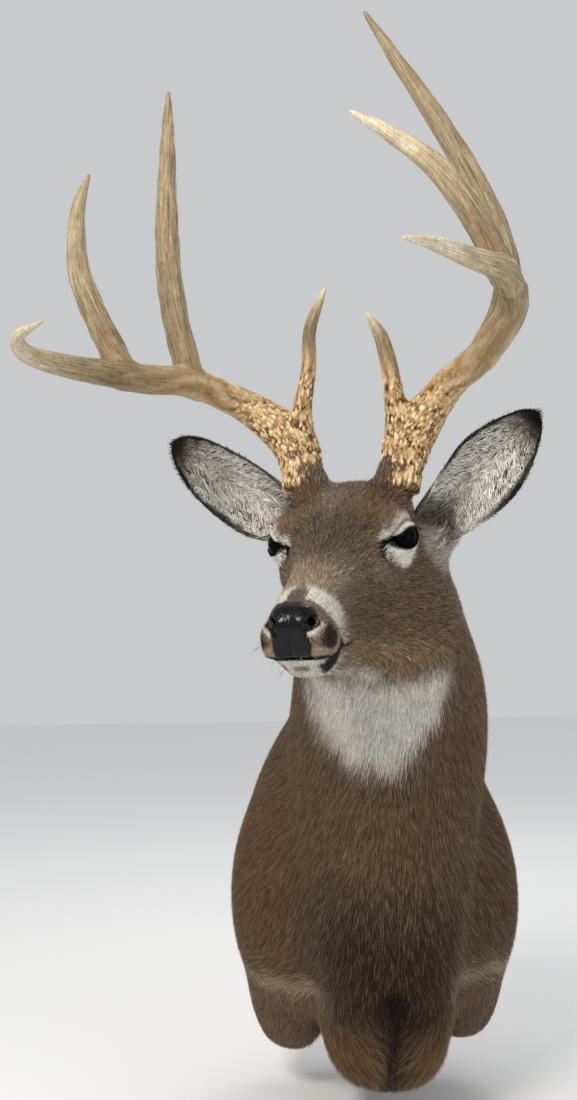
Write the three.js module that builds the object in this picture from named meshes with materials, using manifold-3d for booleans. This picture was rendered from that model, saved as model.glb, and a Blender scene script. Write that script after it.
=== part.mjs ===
// Whitetail buck shoulder mount: head, neck and shoulders on a flush back board, at life size.
// Millimetres, +Z up. The origin is the middle of the board's back face, which lies against
// the wall in the plane Y = 0. The mount stands out from the wall towards -Y, and left and
// right are the deer's own, so its left side is towards +X.
import * as THREE from "three";
import { mergeVertices } from "three/addons/utils/BufferGeometryUtils.js";
import Module from "manifold-3d";

// ---------- driving dimensions ----------
const GAP = 0.3; // clearance between parts that touch
const SEAT_GAP = 1.1; // ears and antlers stop this far from the faceted skin of the head
const NAPE_GAP = 2.2; // and the ears this far from the coarser facets of the neck
const CUT = 0.2; // half the width of a parting cut

// pose and size of the head: the point midway between the eyes, and the way it faces
const EYE_MIDDLE = [-56.5, -391, 353];
const HEAD_YAW = 18.2; // degrees, turned towards -X
const HEAD_PITCH = -18.95; // degrees, nose below the level
const HEAD_ROLL = 1.4;
const NOSE_REACH = 206; // from between the eyes to the front of the nose pad
const EYE_RADIUS = 17;
const EYE_PLACE = [3.5, 2.5, 55]; // forward, up, out

// head lengthwise stations: forward, top, bottom, half width, height of widest point, squareness
const HEAD_STATIONS = [
  [-125, 24, -78, 42, -30, 2.0],
  [-95, 43, -100, 56, -24, 2.1],
  [-60, 51, -116, 62, -16, 2.2],
  [-25, 50, -122, 61, -8, 2.3],
  [5, 44, -124, 56, -6, 2.3],
  [40, 35, -117, 45, -14, 2.3],
  [80, 25, -104, 36, -26, 2.3],
  [120, 17, -90, 31, -34, 2.4],
  [160, 9, -76, 29.5, -34, 2.5],
  [190, 4, -74, 27.5, -30, 2.5],
  [215, 1, -70, 24, -26, 2.5],
];
// outline of the muzzle's front, seen from the side: height, reach
const MUZZLE_FRONT = [
  [-110, -56], [-75, -28], [-62, -15], [-46, -2], [-22, 5], [0, -2], [14, -12], [40, -56],
].map(([height, back]) => [height, NOSE_REACH + back]);

// neck and chest column, level by level: height, front, back, middle, half width, squareness
const NECK_STATIONS = [
  [-231, -205, -120, 4, 32, 2.0],
  [-210, -248, -90, 4, 54, 2.1],
  [-175, -280, -40, 2, 72, 2.2],
  [-125, -304, 60, 1, 88, 2.2],
  [-65, -316, 90, 0, 104, 2.2],
  [5, -327, 100, 1, 113, 2.2],
  [75, -340, 100, 5, 114, 2.1],
  [135, -354, 70, 9, 114, 2.1],
  [190, -370, 10, 9, 109, 2.1],
  [235, -380, -78, 3, 101, 2.1],
  [275, -385, -140, -5, 91, 2.1],
  [315, -384, -192, -12, 82, 2.1],
  [355, -372, -238, -19, 66, 2.0],
  [400, -350, -280, -26, 38, 2.0],
];
const BARREL = { place: [0, -40, -7], radii: [152, 165, 207] };
const SHOULDER = { place: [88, -112, -35], radii: [79, 104, 134] };
// the left stump sits this much higher and further out than the right one
const FORELEG = { place: [92, -72, -119], radii: [57, 77, 106], sole: -216, leftShift: 8 };
const BRISKET = { place: [28, -205, -155], radii: [40, 60, 60] };

const EAR_THICKNESS = 6;

const BOARD_THICKNESS = 19;
const BOARD = { halfWidth: 124, halfHeight: 171, squareness: 2.3 };
const HANGER = { width: 64, height: 26, thickness: 2, recess: 8, level: 118, slot: 4.5, keyhole: 9 };
const NOSE_PAD = { place: [213, -17, -1], radii: [20, 25, 21] }; // radii forward, across and up

// ---------- small vector and frame helpers ----------
const vec = (p) => new THREE.Vector3(p[0], p[1], p[2]);
const rad = THREE.MathUtils.degToRad;

function headFrame() {
  const yaw = rad(HEAD_YAW);
  const pitch = rad(HEAD_PITCH);
  const forward = new THREE.Vector3(
    -Math.sin(yaw) * Math.cos(pitch), -Math.cos(yaw) * Math.cos(pitch), Math.sin(pitch));
  const level = new THREE.Vector3(Math.cos(yaw), -Math.sin(yaw), 0);
  const upright = new THREE.Vector3().crossVectors(level, forward).negate();
  const roll = rad(HEAD_ROLL);
  const left = level.clone().multiplyScalar(Math.cos(roll)).addScaledVector(upright, Math.sin(roll));
  const up = upright.clone().multiplyScalar(Math.cos(roll)).addScaledVector(level, -Math.sin(roll));
  return { origin: vec(EYE_MIDDLE), forward, up, left };
}
const HEAD = headFrame();

// a point given as forward, up and left of the place between the eyes
function headPoint(forward, up, left) {
  return HEAD.origin.clone().addScaledVector(HEAD.forward, forward)
    .addScaledVector(HEAD.up, up).addScaledVector(HEAD.left, left);
}

function headCoordinates(x, y, z) {
  const q = new THREE.Vector3(x, y, z).sub(HEAD.origin);
  return [q.dot(HEAD.forward), q.dot(HEAD.up), q.dot(HEAD.left)];
}

// smooth curve through a table of (place, value) rows
function spline(x, rows, column = 1) {
  const last = rows.length - 1;
  let i = 0;
  while (i < last - 1 && x > rows[i + 1][0]) i++;
  const slope = (k) => {
    const a = rows[Math.max(k - 1, 0)];
    const b = rows[Math.min(k + 1, last)];
    return (b[column] - a[column]) / (b[0] - a[0]);
  };
  const width = rows[i + 1][0] - rows[i][0];
  const t = Math.min(Math.max((x - rows[i][0]) / width, 0), 1);
  const t2 = t * t;
  const t3 = t2 * t;
  return (2 * t3 - 3 * t2 + 1) * rows[i][column] + (t3 - 2 * t2 + t) * width * slope(i)
    + (3 * t2 - 2 * t3) * rows[i + 1][column] + (t3 - t2) * width * slope(i + 1);
}

// ---------- the body as a smooth field: negative inside, about one per millimetre ----------
function blend(a, b, reach) {
  const h = Math.max(reach - Math.abs(a - b), 0) / reach;
  return Math.min(a, b) - h * h * reach / 4;
}
const carve = (a, b, reach) => -blend(-a, -b, reach);

function ellipsoid(x, y, z, [rx, ry, rz]) {
  const scaled = Math.hypot(x / rx, y / ry, z / rz);
  const slope = Math.hypot(x / rx ** 2, y / ry ** 2, z / rz ** 2) + 1e-9;
  return scaled * (scaled - 1) / slope;
}

function roundCone(p, a, b, radiusA, radiusB) {
  const ab = [b[0] - a[0], b[1] - a[1], b[2] - a[2]];
  const ap = [p[0] - a[0], p[1] - a[1], p[2] - a[2]];
  const along = (ap[0] * ab[0] + ap[1] * ab[1] + ap[2] * ab[2]) / (ab[0] ** 2 + ab[1] ** 2 + ab[2] ** 2);
  const t = Math.min(Math.max(along, 0), 1);
  return Math.hypot(ap[0] - t * ab[0], ap[1] - t * ab[1], ap[2] - t * ab[2])
    - (radiusA + (radiusB - radiusA) * t);
}

// superellipse section with half sizes a and b and exponent n
function section(across, along, a, b, n) {
  const p = Math.abs(across) / a;
  const q = Math.abs(along) / b;
  const k = (p ** n + q ** n + 1e-9) ** (1 / n);
  const slope = Math.hypot(p ** (n - 1) / a, q ** (n - 1) / b) * (k + 1e-6) ** (1 - n);
  return (k - 1) / Math.max(slope, 1 / Math.max(a, b));
}

function headField(x, y, z) {
  const [u, v, w] = headCoordinates(x, y, z);
  const side = Math.abs(w);
  const [top, bottom, half, widest, square] = [1, 2, 3, 4, 5].map((c) => spline(u, HEAD_STATIONS, c));
  let d = section(w, v - widest, half, v > widest ? top - widest : widest - bottom, square);
  d = carve(d, (u - spline(v, MUZZLE_FRONT)) * 0.9, 16);
  d = carve(d, -(u + 112) * 0.9, 40);
  d = blend(d, ellipsoid(u, v - 19, side - 50, [34, 14, 15]), 16); // brow
  d = blend(d, ellipsoid(u + 1, v - 1, side - 43.5, [31, 25, 20.5]), 12); // round the eye
  d = blend(d, ellipsoid(u - 15, v + 21, side - 45, [41, 14, 11.5]), 22); // cheek bone
  d = blend(d, ellipsoid(u + 18, v + 66, side - 34, [48, 48, 24]), 22); // jaw muscle
  d = blend(d, roundCone([u, v, side], [-62, 24, 34], [-69, 52, 45], 26, 21), 16); // pedicle
  d = blend(d, roundCone([u, v, side], [-92, -38, 52], [-100, -22, 83], 22, 20), 14); // root of the ear
  return blend(d, ellipsoid(u - 184, v + 37, side - 17, [22, 14, 12]), 10); // upper lip
}

function bodyField(x, y, z) {
  const side = Math.abs(x);
  const [front, back, middle, half, square] = [1, 2, 3, 4, 5].map((c) => spline(z, NECK_STATIONS, c));
  const depth = (back - front) / 2;
  let d = section(x - middle, y - front - depth, half, depth, square) * 0.85;
  d = carve(d, z - 397, 30);
  d = carve(d, -z - 231, 30);
  d = blend(d, ellipsoid(x, y - BARREL.place[1], z - BARREL.place[2], BARREL.radii), 36);
  d = blend(d, ellipsoid(side - SHOULDER.place[0], y - SHOULDER.place[1], z - SHOULDER.place[2],
    SHOULDER.radii), 34);
  const shift = x > 0 ? FORELEG.leftShift : 0;
  const leg = ellipsoid(side - FORELEG.place[0] - shift, y - FORELEG.place[1],
    z - FORELEG.place[2] - shift, FORELEG.radii);
  d = blend(d, carve(leg, FORELEG.sole + shift - z, 16), 18);
  return blend(d, ellipsoid(side - BRISKET.place[0], y - BRISKET.place[1], z - BRISKET.place[2],
    BRISKET.radii), 20);
}

function fleshField(x, y, z) {
  return blend(headField(x, y, z), bodyField(x, y, z), 30);
}

// ---------- closed mesh round a field, on a grid of one step ----------
function polygonize(field, low, high, step) {
  const count = [0, 1, 2].map((k) => Math.ceil((high[k] - low[k]) / step) + 1);
  const at = (i, j, k) => (i * count[1] + j) * count[2] + k;
  const value = new Float64Array(count[0] * count[1] * count[2]);
  for (let i = 0; i < count[0]; i++) {
    for (let j = 0; j < count[1]; j++) {
      for (let k = 0; k < count[2]; k++) {
        value[at(i, j, k)] = field(low[0] + i * step, low[1] + j * step, low[2] + k * step);
      }
    }
  }
  const corners = [];
  for (let c = 0; c < 8; c++) corners.push([c & 1, (c >> 1) & 1, (c >> 2) & 1]);
  const edges = [];
  const apart = (a, b) => Math.abs(a[0] - b[0]) + Math.abs(a[1] - b[1]) + Math.abs(a[2] - b[2]);
  corners.forEach((a, i) => corners.forEach((b, j) => {
    if (i < j && apart(a, b) === 1) edges.push([a, b]);
  }));
  const cellVertex = new Int32Array(value.length).fill(-1);
  const positions = [];
  for (let i = 0; i < count[0] - 1; i++) {
    for (let j = 0; j < count[1] - 1; j++) {
      for (let k = 0; k < count[2] - 1; k++) {
        const sum = [0, 0, 0];
        let crossings = 0;
        for (const [a, b] of edges) {
          const va = value[at(i + a[0], j + a[1], k + a[2])];
          const vb = value[at(i + b[0], j + b[1], k + b[2])];
          if (va < 0 === vb < 0) continue;
          const t = va / (va - vb);
          for (let m = 0; m < 3; m++) sum[m] += a[m] + (b[m] - a[m]) * t;
          crossings++;
        }
        if (!crossings) continue;
        cellVertex[at(i, j, k)] = positions.length / 3;
        const cell = [i, j, k];
        for (let m = 0; m < 3; m++) positions.push(low[m] + (cell[m] + sum[m] / crossings) * step);
      }
    }
  }
  const index = [];
  for (let axis = 0; axis < 3; axis++) {
    const b = (axis + 1) % 3;
    const c = (axis + 2) % 3;
    const cell = [0, 0, 0];
    for (cell[0] = 0; cell[0] < count[0] - 1; cell[0]++) {
      for (cell[1] = 0; cell[1] < count[1] - 1; cell[1]++) {
        for (cell[2] = 0; cell[2] < count[2] - 1; cell[2]++) {
          if (!cell[b] || !cell[c]) continue;
          const next = [...cell];
          next[axis]++;
          const inside = value[at(...cell)] < 0;
          if (inside === value[at(...next)] < 0) continue;
          const corner = (db, dc) => {
            const q = [...cell];
            q[b] -= db;
            q[c] -= dc;
            return cellVertex[at(...q)];
          };
          const quad = [corner(1, 1), corner(0, 1), corner(0, 0), corner(1, 0)];
          if (!inside) quad.reverse();
          index.push(quad[0], quad[1], quad[2], quad[0], quad[2], quad[3]);
        }
      }
    }
  }
  return { positions, index };
}

// ---------- solids ----------
const wasm = await Module();
wasm.setup();

function solidFrom(positions, index) {
  return new wasm.Manifold(new wasm.Mesh({
    numProp: 3, vertProperties: Float32Array.from(positions), triVerts: Uint32Array.from(index),
  }));
}

function solidFromGeometry(geometry) {
  const plain = geometry.clone();
  plain.deleteAttribute("normal");
  plain.deleteAttribute("uv");
  const merged = mergeVertices(plain, 1e-4);
  return solidFrom(merged.attributes.position.array, merged.index.array);
}

function geometryFrom(solid) {
  const mesh = solid.getMesh();
  const geometry = new THREE.BufferGeometry();
  geometry.setAttribute("position", new THREE.BufferAttribute(Float32Array.from(mesh.vertProperties), 3));
  geometry.setIndex(Array.from(mesh.triVerts));
  geometry.computeVertexNormals();
  return geometry;
}

// a large block with one face in the plane through point, lying on the side that normal points to
function halfSpace(point, normal, shift = 0) {
  const size = 2000;
  const block = new THREE.BoxGeometry(size, size, size).translate(0, 0, size / 2 + shift);
  const up = new THREE.Vector3(0, 0, 1);
  const turn = new THREE.Quaternion().setFromUnitVectors(up, normal.clone().normalize());
  block.applyQuaternion(turn).translate(point.x, point.y, point.z);
  return solidFromGeometry(block);
}

// the part of a solid on each side of a plane, parted by a thin cut
function part(solid, point, normal) {
  const ahead = solid.intersect(halfSpace(point, normal, CUT));
  const behind = solid.intersect(halfSpace(point, normal.clone().negate(), CUT));
  return [ahead, behind];
}

// tube swept along a curve with a radius that changes on the way; closed at both ends
function sweep(curve, radiusAt, from, to, rings, sides) {
  const positions = [];
  const index = [];
  let across = new THREE.Vector3(0, 1, 0);
  for (let i = 0; i <= rings; i++) {
    const t = from + (to - from) * i / rings;
    const centre = curve.getPointAt(t);
    const tangent = curve.getTangentAt(t);
    across = across.clone().addScaledVector(tangent, -across.dot(tangent)).normalize();
    const other = new THREE.Vector3().crossVectors(tangent, across);
    const radius = radiusAt(t);
    for (let j = 0; j < sides; j++) {
      const angle = 2 * Math.PI * j / sides;
      const p = centre.clone().addScaledVector(across, radius * Math.cos(angle))
        .addScaledVector(other, radius * Math.sin(angle));
      positions.push(p.x, p.y, p.z);
    }
  }
  for (let i = 0; i < rings; i++) {
    for (let j = 0; j < sides; j++) {
      const a = i * sides + j;
      const b = i * sides + (j + 1) % sides;
      index.push(a, b, b + sides, a, b + sides, a + sides);
    }
  }
  const last = rings * sides;
  for (let j = 1; j < sides - 1; j++) {
    index.push(0, j + 1, j);
    index.push(last, last + j, last + j + 1);
  }
  return solidFrom(positions, index);
}

// ---------- antlers: places are out from the middle, forward and up, between the pedicles ----------
const PEDICLE_MIDDLE = headPoint(-68, 54, 0);
const RACK_FRAME = (() => {
  const left = HEAD.left;
  const forward = new THREE.Vector3(HEAD.forward.x, HEAD.forward.y, 0).normalize();
  forward.addScaledVector(left, -forward.dot(left)).normalize();
  return { left, forward, up: new THREE.Vector3().crossVectors(left, forward).negate() };
})();
const BEAM_RADII = [[0, 20], [0.035, 20.5], [0.07, 21.4], [0.13, 22], [0.2, 18], [0.3, 15], [0.5, 14],
  [0.66, 11.2], [0.75, 9.6], [0.9, 5.9], [1, 1.6]];
const TINE_RADII = [[0, 0.5], [0.1, 0.93], [0.25, 0.93], [0.5, 0.84], [0.75, 0.6], [0.9, 0.38], [1, 0.12]];
const BROW_RADII = [[0, 1.3], [0.15, 1.12], [0.3, 0.9], [0.5, 0.73], [0.75, 0.6], [0.9, 0.41], [1, 0.12]];
const ANTLERS = {
  left: {
    side: 1,
    beam: [[48.5, 1, -20], [52, -7, 10], [62, -13, 35], [98, 2, 75.5], [142, 46, 97.5], [177, 112, 123],
      [176, 172, 136], [152, 240, 135], [134, 284, 134], [119, 320, 129]],
    forks: [0.36, 0.58],
    brow: { radius: 12, points: [[52, -12, 26], [48, 2, 62], [46, 12, 91], [41, 22, 124], [27, 22, 152]] },
    second: {
      radius: 13, points: [[142, 46, 97], [167, 74, 138], [169, 92, 174], [145, 118, 243], [60, 142, 394]],
    },
    third: {
      radius: 12.6,
      points: [[176, 158, 132], [159, 188, 175], [129, 206, 220], [94, 213, 250], [60, 216, 274]],
    },
  },
  right: {
    side: -1,
    beam: [[50, 1, -14], [53, -7, 14], [66, -12, 41], [105, -8, 73], [146, 40, 93], [178, 108, 89.5],
      [206, 190, 86.5], [219, 258, 86], [205, 302, 90], [170, 330, 93]],
    forks: [0.35, 0.56],
    brow: { radius: 10, points: [[56, -12, 32], [47, 2, 68], [36.5, 14, 101], [29, 27, 143], [12, 30, 180]] },
    second: { radius: 14, points: [[147, 40, 91], [155, 63, 146], [155, 84, 205], [139, 114, 361]] },
    third: {
      radius: 13,
      points: [[184, 126, 90], [198, 150, 131], [210, 170, 181], [204, 182, 234], [190, 188, 262]],
    },
  },
};

function rackPoint(side, [out, forward, up]) {
  return PEDICLE_MIDDLE.clone().addScaledVector(RACK_FRAME.left, side * out)
    .addScaledVector(RACK_FRAME.forward, forward).addScaledVector(RACK_FRAME.up, up);
}

const curveThrough = (antler, points) =>
  new THREE.CatmullRomCurve3(points.map((p) => rackPoint(antler.side, p)), false, "centripetal");
const beamRadius = (t) => spline(t, BEAM_RADII);

// the main beam's three lengths, parted at the forks, with their surfaces moved out by grow;
// the grown ones close up the parting cuts
function beamLengths(antler, grow = 0) {
  const curve = curveThrough(antler, antler.beam);
  const cut = (grow ? -2 : 1) * CUT / curve.getLength();
  const [second, third] = antler.forks;
  const length = (from, to, rings) => sweep(curve, (t) => beamRadius(t) + grow, from, to, rings, 10);
  return [length(0, second - cut, 11), length(second + cut, third - cut, 6), length(third + cut, 1, 10)];
}

const without = (solid, others) => others.reduce((left, other) => left.subtract(other), solid);

function antlerSolids(antler, headInflated) {
  const [base, beam, beamTip] = beamLengths(antler);
  const grown = beamLengths(antler, GAP);
  const tine = ({ radius, points }, radii) => {
    const curve = curveThrough(antler, points);
    return without(sweep(curve, (t) => radius * spline(t, radii), 0, 1, 8, 8), grown);
  };
  return {
    base: base.subtract(headInflated),
    beam,
    beam_tip: beamTip,
    brow_tine: tine(antler.brow, BROW_RADII),
    second_tine: tine(antler.second, TINE_RADII),
    third_tine: tine(antler.third, TINE_RADII),
  };
}

// ---------- ears: a cupped leaf from base to tip ----------
const EAR_WIDTHS = [[0, 0.5], [0.15, 0.68], [0.35, 0.93], [0.55, 1], [0.75, 0.83], [0.9, 0.53], [0.97, 0.27],
  [1, 0.05]];
const EAR_CUP = [[0, 115], [0.2, 95], [0.5, 62], [0.75, 46], [1, 30]]; // half angle of the cupped section
const EARS = {
  left: { base: [-92, -13, 60], tip: [-120, 91, 182], turn: 14, halfWidths: [37, 38] },
  right: { base: [-100, -3, -49], tip: [-114, 89, -200], turn: -8, halfWidths: [36, 40] },
};

function earSolid({ base, tip, turn, halfWidths }) {
  const root = headPoint(...base);
  const axis = headPoint(...tip).sub(root).normalize();
  const length = headPoint(...tip).distanceTo(root);
  const facing = HEAD.forward.clone().addScaledVector(axis, -HEAD.forward.dot(axis)).normalize();
  facing.applyAxisAngle(axis, rad(turn));
  const across = new THREE.Vector3().crossVectors(axis, facing);
  const steps = 9;
  const slices = 6;
  const positions = [];
  const index = [];
  const vertex = (i, j, layer) => (i * (slices + 1) + j) * 2 + layer;
  for (let i = 0; i <= steps; i++) {
    const s = i / steps;
    const spread = rad(spline(s, EAR_CUP));
    const thick = EAR_THICKNESS * (1 - 0.5 * s);
    for (let j = 0; j <= slices; j++) {
      const angle = spread * (2 * j / slices - 1);
      const half = halfWidths[angle > 0 ? 0 : 1] * spline(s, EAR_WIDTHS);
      const radius = half / Math.sin(Math.min(spread, Math.PI / 2));
      const edge = Math.abs(2 * j / slices - 1);
      const out = new THREE.Vector3().addScaledVector(facing, -Math.cos(angle))
        .addScaledVector(across, Math.sin(angle));
      const centre = root.clone().addScaledVector(axis, s * length).addScaledVector(facing, radius);
      for (const layer of [0, 1]) {
        const r = radius + (layer ? 0.5 : -0.5) * thick * (1 - 0.55 * edge ** 3);
        const p = centre.clone().addScaledVector(out, r);
        positions.push(p.x, p.y, p.z);
      }
    }
  }
  const quad = (a, b, c, d) => index.push(a, c, b, a, d, c);
  for (let i = 0; i < steps; i++) {
    for (let j = 0; j < slices; j++) {
      quad(vertex(i, j, 1), vertex(i, j + 1, 1), vertex(i + 1, j + 1, 1), vertex(i + 1, j, 1));
      quad(vertex(i, j, 0), vertex(i + 1, j, 0), vertex(i + 1, j + 1, 0), vertex(i, j + 1, 0));
    }
    quad(vertex(i, 0, 0), vertex(i, 0, 1), vertex(i + 1, 0, 1), vertex(i + 1, 0, 0));
    quad(vertex(i, slices, 1), vertex(i, slices, 0), vertex(i + 1, slices, 0), vertex(i + 1, slices, 1));
  }
  for (let j = 0; j < slices; j++) {
    quad(vertex(0, j, 0), vertex(0, j + 1, 0), vertex(0, j + 1, 1), vertex(0, j, 1));
    quad(vertex(steps, j, 1), vertex(steps, j + 1, 1), vertex(steps, j + 1, 0), vertex(steps, j, 0));
  }
  return solidFrom(positions, index);
}

// ---------- eyes, nose pad, board and hanger ----------
function ball(place, [alongHead, acrossHead, upHead], sides = 14) {
  const shape = new THREE.SphereGeometry(1, sides, sides / 2).scale(alongHead, acrossHead, upHead);
  shape.applyMatrix4(new THREE.Matrix4().makeBasis(HEAD.forward, HEAD.left, HEAD.up));
  return solidFromGeometry(shape.translate(...headPoint(...place).toArray()));
}

function boardShape(inset) {
  const points = [];
  const count = 32;
  const power = 2 / BOARD.squareness;
  const round = (value) => Math.sign(value) * Math.abs(value) ** power;
  for (let i = 0; i < count; i++) {
    const angle = 2 * Math.PI * i / count;
    points.push(new THREE.Vector2((BOARD.halfWidth - inset) * round(Math.cos(angle)),
      (BOARD.halfHeight - inset) * round(Math.sin(angle))));
  }
  return new THREE.Shape(points);
}

// an outline in the wall plane, as a plate from the wall to thickness in front of it
function plate(shape, thickness, back = 0) {
  const settings = { depth: thickness, bevelEnabled: false, curveSegments: 5 };
  const geometry = new THREE.ExtrudeGeometry(shape, settings);
  return geometry.rotateX(Math.PI / 2).translate(0, -back, 0);
}

function hangerShape() {
  const { width, height, level, slot, keyhole } = HANGER;
  const shape = new THREE.Shape();
  shape.moveTo(-width / 2, level - height / 2);
  shape.lineTo(width / 2, level - height / 2);
  shape.lineTo(width / 2, level + height / 2);
  shape.lineTo(-width / 2, level + height / 2);
  shape.closePath();
  const hole = new THREE.Path();
  const neck = Math.asin(slot / keyhole);
  hole.absarc(0, level - 3, keyhole / 2, Math.PI / 2 + neck, Math.PI / 2 - neck + 2 * Math.PI, false);
  hole.absarc(0, level + 7, slot / 2, 0, Math.PI, false);
  hole.closePath();
  shape.holes.push(hole);
  return shape;
}

// ---------- parting the hide into named pieces ----------
const NECK_CUT = { place: vec([0, -330, 322]), normal: vec([0, 0.857, -0.515]) }; // throat to nape
const CHEST_CUT = { place: vec([0, 0, 237]), normal: vec([0, -0.458, 0.889]) }; // withers to breast
const LEG_LEVEL = vec([0, 0, -127]); // where the forelegs leave the shoulders
const CHEST_HALF = 74;
const UP = new THREE.Vector3(0, 0, 1);
const ACROSS = new THREE.Vector3(1, 0, 0);
const OUT_OF_WALL = new THREE.Vector3(0, -1, 0);
const HEAD_STEP = 13.8; // grid steps of the meshes
const NECK_STEP = 28;
const BODY_STEP = 30.5;
const MARGIN = 12; // a piece's mesh runs this far past its parting planes before it is cut

const beyond = ({ place, normal }, x, y, z) =>
  (x - place.x) * normal.x + (y - place.y) * normal.y + (z - place.z) * normal.z;

function hide(low, high, step, region, inflate = 0) {
  const field = (x, y, z) => Math.max(fleshField(x, y, z) - inflate, region(x, y, z));
  const { positions, index } = polygonize(field, low, high, step);
  return solidFrom(positions, index);
}

const headRegion = (x, y, z) => beyond(NECK_CUT, x, y, z) - MARGIN;
const neckRegion = (x, y, z) =>
  Math.max(-beyond(NECK_CUT, x, y, z) - MARGIN, -beyond(CHEST_CUT, x, y, z) - MARGIN, y - MARGIN);
const bodyRegion = (x, y, z) => Math.max(beyond(CHEST_CUT, x, y, z) - MARGIN, y - MARGIN);

const HEAD_BOX = [[-186, -600, 195], [79, -240, 465]];
const headMesh = hide(...HEAD_BOX, HEAD_STEP, headRegion);
const headInflated = hide(...HEAD_BOX, HEAD_STEP, headRegion, SEAT_GAP);
const NECK_BOX = [[-150, -410, 35], [150, 40, 445]];
const neckMesh = hide(...NECK_BOX, NECK_STEP, neckRegion);
const neckInflated = hide(...NECK_BOX, NECK_STEP, neckRegion, NAPE_GAP);
const bodyMesh = hide([-210, -380, -275], [210, 40, 275], BODY_STEP, bodyRegion);

const flesh = {};
[, flesh.head] = part(headMesh, NECK_CUT.place, NECK_CUT.normal);
[flesh.neck] = part(part(neckMesh, NECK_CUT.place, NECK_CUT.normal)[0], CHEST_CUT.place, CHEST_CUT.normal);
const [, lowerBody] = part(bodyMesh, CHEST_CUT.place, CHEST_CUT.normal);
flesh.neck = flesh.neck.intersect(halfSpace(vec([0, 0, 0]), OUT_OF_WALL));
const trunk = lowerBody.intersect(halfSpace(vec([0, 0, 0]), OUT_OF_WALL));
const [leftOfChest, notLeft] = part(trunk, vec([CHEST_HALF, 0, 0]), ACROSS);
const [middle, rightOfChest] = part(notLeft, vec([-CHEST_HALF, 0, 0]), ACROSS);
[flesh.shoulder_left, flesh.foreleg_left] = part(leftOfChest, LEG_LEVEL, UP);
[flesh.shoulder_right, flesh.foreleg_right] = part(rightOfChest, LEG_LEVEL, UP);
[flesh.chest, flesh.brisket] = part(middle, LEG_LEVEL, UP);

// the board lies in a pocket in the hide's back, and the hanger in a pocket in the board
const board = solidFromGeometry(plate(boardShape(0), BOARD_THICKNESS));
const boardPocket = solidFromGeometry(plate(boardShape(-GAP), BOARD_THICKNESS + GAP + 1, -1));
for (const name of Object.keys(flesh)) {
  if (name !== "head") flesh[name] = flesh[name].subtract(boardPocket);
}
const hanger = solidFromGeometry(plate(hangerShape(), HANGER.thickness));
const hangerPocket = solidFromGeometry(new THREE.BoxGeometry(
  HANGER.width + 2 * GAP, 2 * (HANGER.thickness + HANGER.recess), HANGER.height + 2 * GAP,
).translate(0, 0, HANGER.level));

// eyes in their sockets, and the bare pad of the nose
const eyes = {};
for (const [name, side] of [["eye_left", 1], ["eye_right", -1]]) {
  const place = [EYE_PLACE[0], EYE_PLACE[1], side * EYE_PLACE[2]];
  const size = (grow) => [EYE_RADIUS + grow, EYE_RADIUS + grow, EYE_RADIUS + grow];
  eyes[name] = ball(place, size(0));
  flesh.head = flesh.head.subtract(ball(place, size(GAP)));
}
const padRegion = (grow) => ball(NOSE_PAD.place, NOSE_PAD.radii.map((r) => r + grow), 18);
const nosePad = flesh.head.intersect(padRegion(0));
flesh.head = flesh.head.subtract(padRegion(GAP));

// ---------- the scene graph ----------
const finish = (color, roughness, metalness = 0) =>
  new THREE.MeshStandardMaterial({ color, roughness, metalness });
const COAT = finish(0x7d6853, 0.95);
const NOSE_SKIN = finish(0x15161a, 0.4);
const EYE_GLASS = finish(0x0c0705, 0.08);
const ANTLER_BONE = finish(0xa58a60, 0.6);
const PLYWOOD = finish(0xb8935f, 0.8);
const STEEL = finish(0xb9bcc0, 0.4, 0.9);

function mesh(name, solid, material) {
  const item = new THREE.Mesh(geometryFrom(solid), material);
  item.name = name;
  return item;
}

const mount = new THREE.Group();
const headGroup = new THREE.Group();
mount.add(headGroup);
for (const [name, solid] of Object.entries(flesh)) {
  (name === "head" ? headGroup : mount).add(mesh(name, solid, COAT));
}
headGroup.add(mesh("nose_pad", nosePad, NOSE_SKIN));
for (const [name, solid] of Object.entries(eyes)) headGroup.add(mesh(name, solid, EYE_GLASS));
for (const [side, ear] of Object.entries(EARS)) {
  const clear = without(earSolid(ear), [headInflated, neckInflated, ...beamLengths(ANTLERS[side], GAP)]);
  headGroup.add(mesh(`ear_${side}`, clear, COAT));
}
for (const [side, antler] of Object.entries(ANTLERS)) {
  const rack = new THREE.Group();
  for (const [piece, solid] of Object.entries(antlerSolids(antler, headInflated))) {
    rack.add(mesh(`antler_${side}_${piece}`, solid, ANTLER_BONE));
  }
  headGroup.add(rack);
}
mount.add(mesh("back_board", board.subtract(hangerPocket), PLYWOOD));
mount.add(mesh("hanger", hanger, STEEL));

export default mount;
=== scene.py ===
"""Looks of a whitetail buck shoulder mount: hide, fur, eyes, nose, antlers, back board and hanger.

The hide is one surface of a smooth field, the field that the solids follow, moved inwards by the
depth of the coat. Fur is tufts of solid mesh on that hide. Lengths are in millimetres until a mesh
is made. The deer looks towards -Y, and left and right are its own: its left is towards +X.
"""

import math

import bmesh
import bpy
import numpy as np
from mathutils import Matrix, Vector


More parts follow.
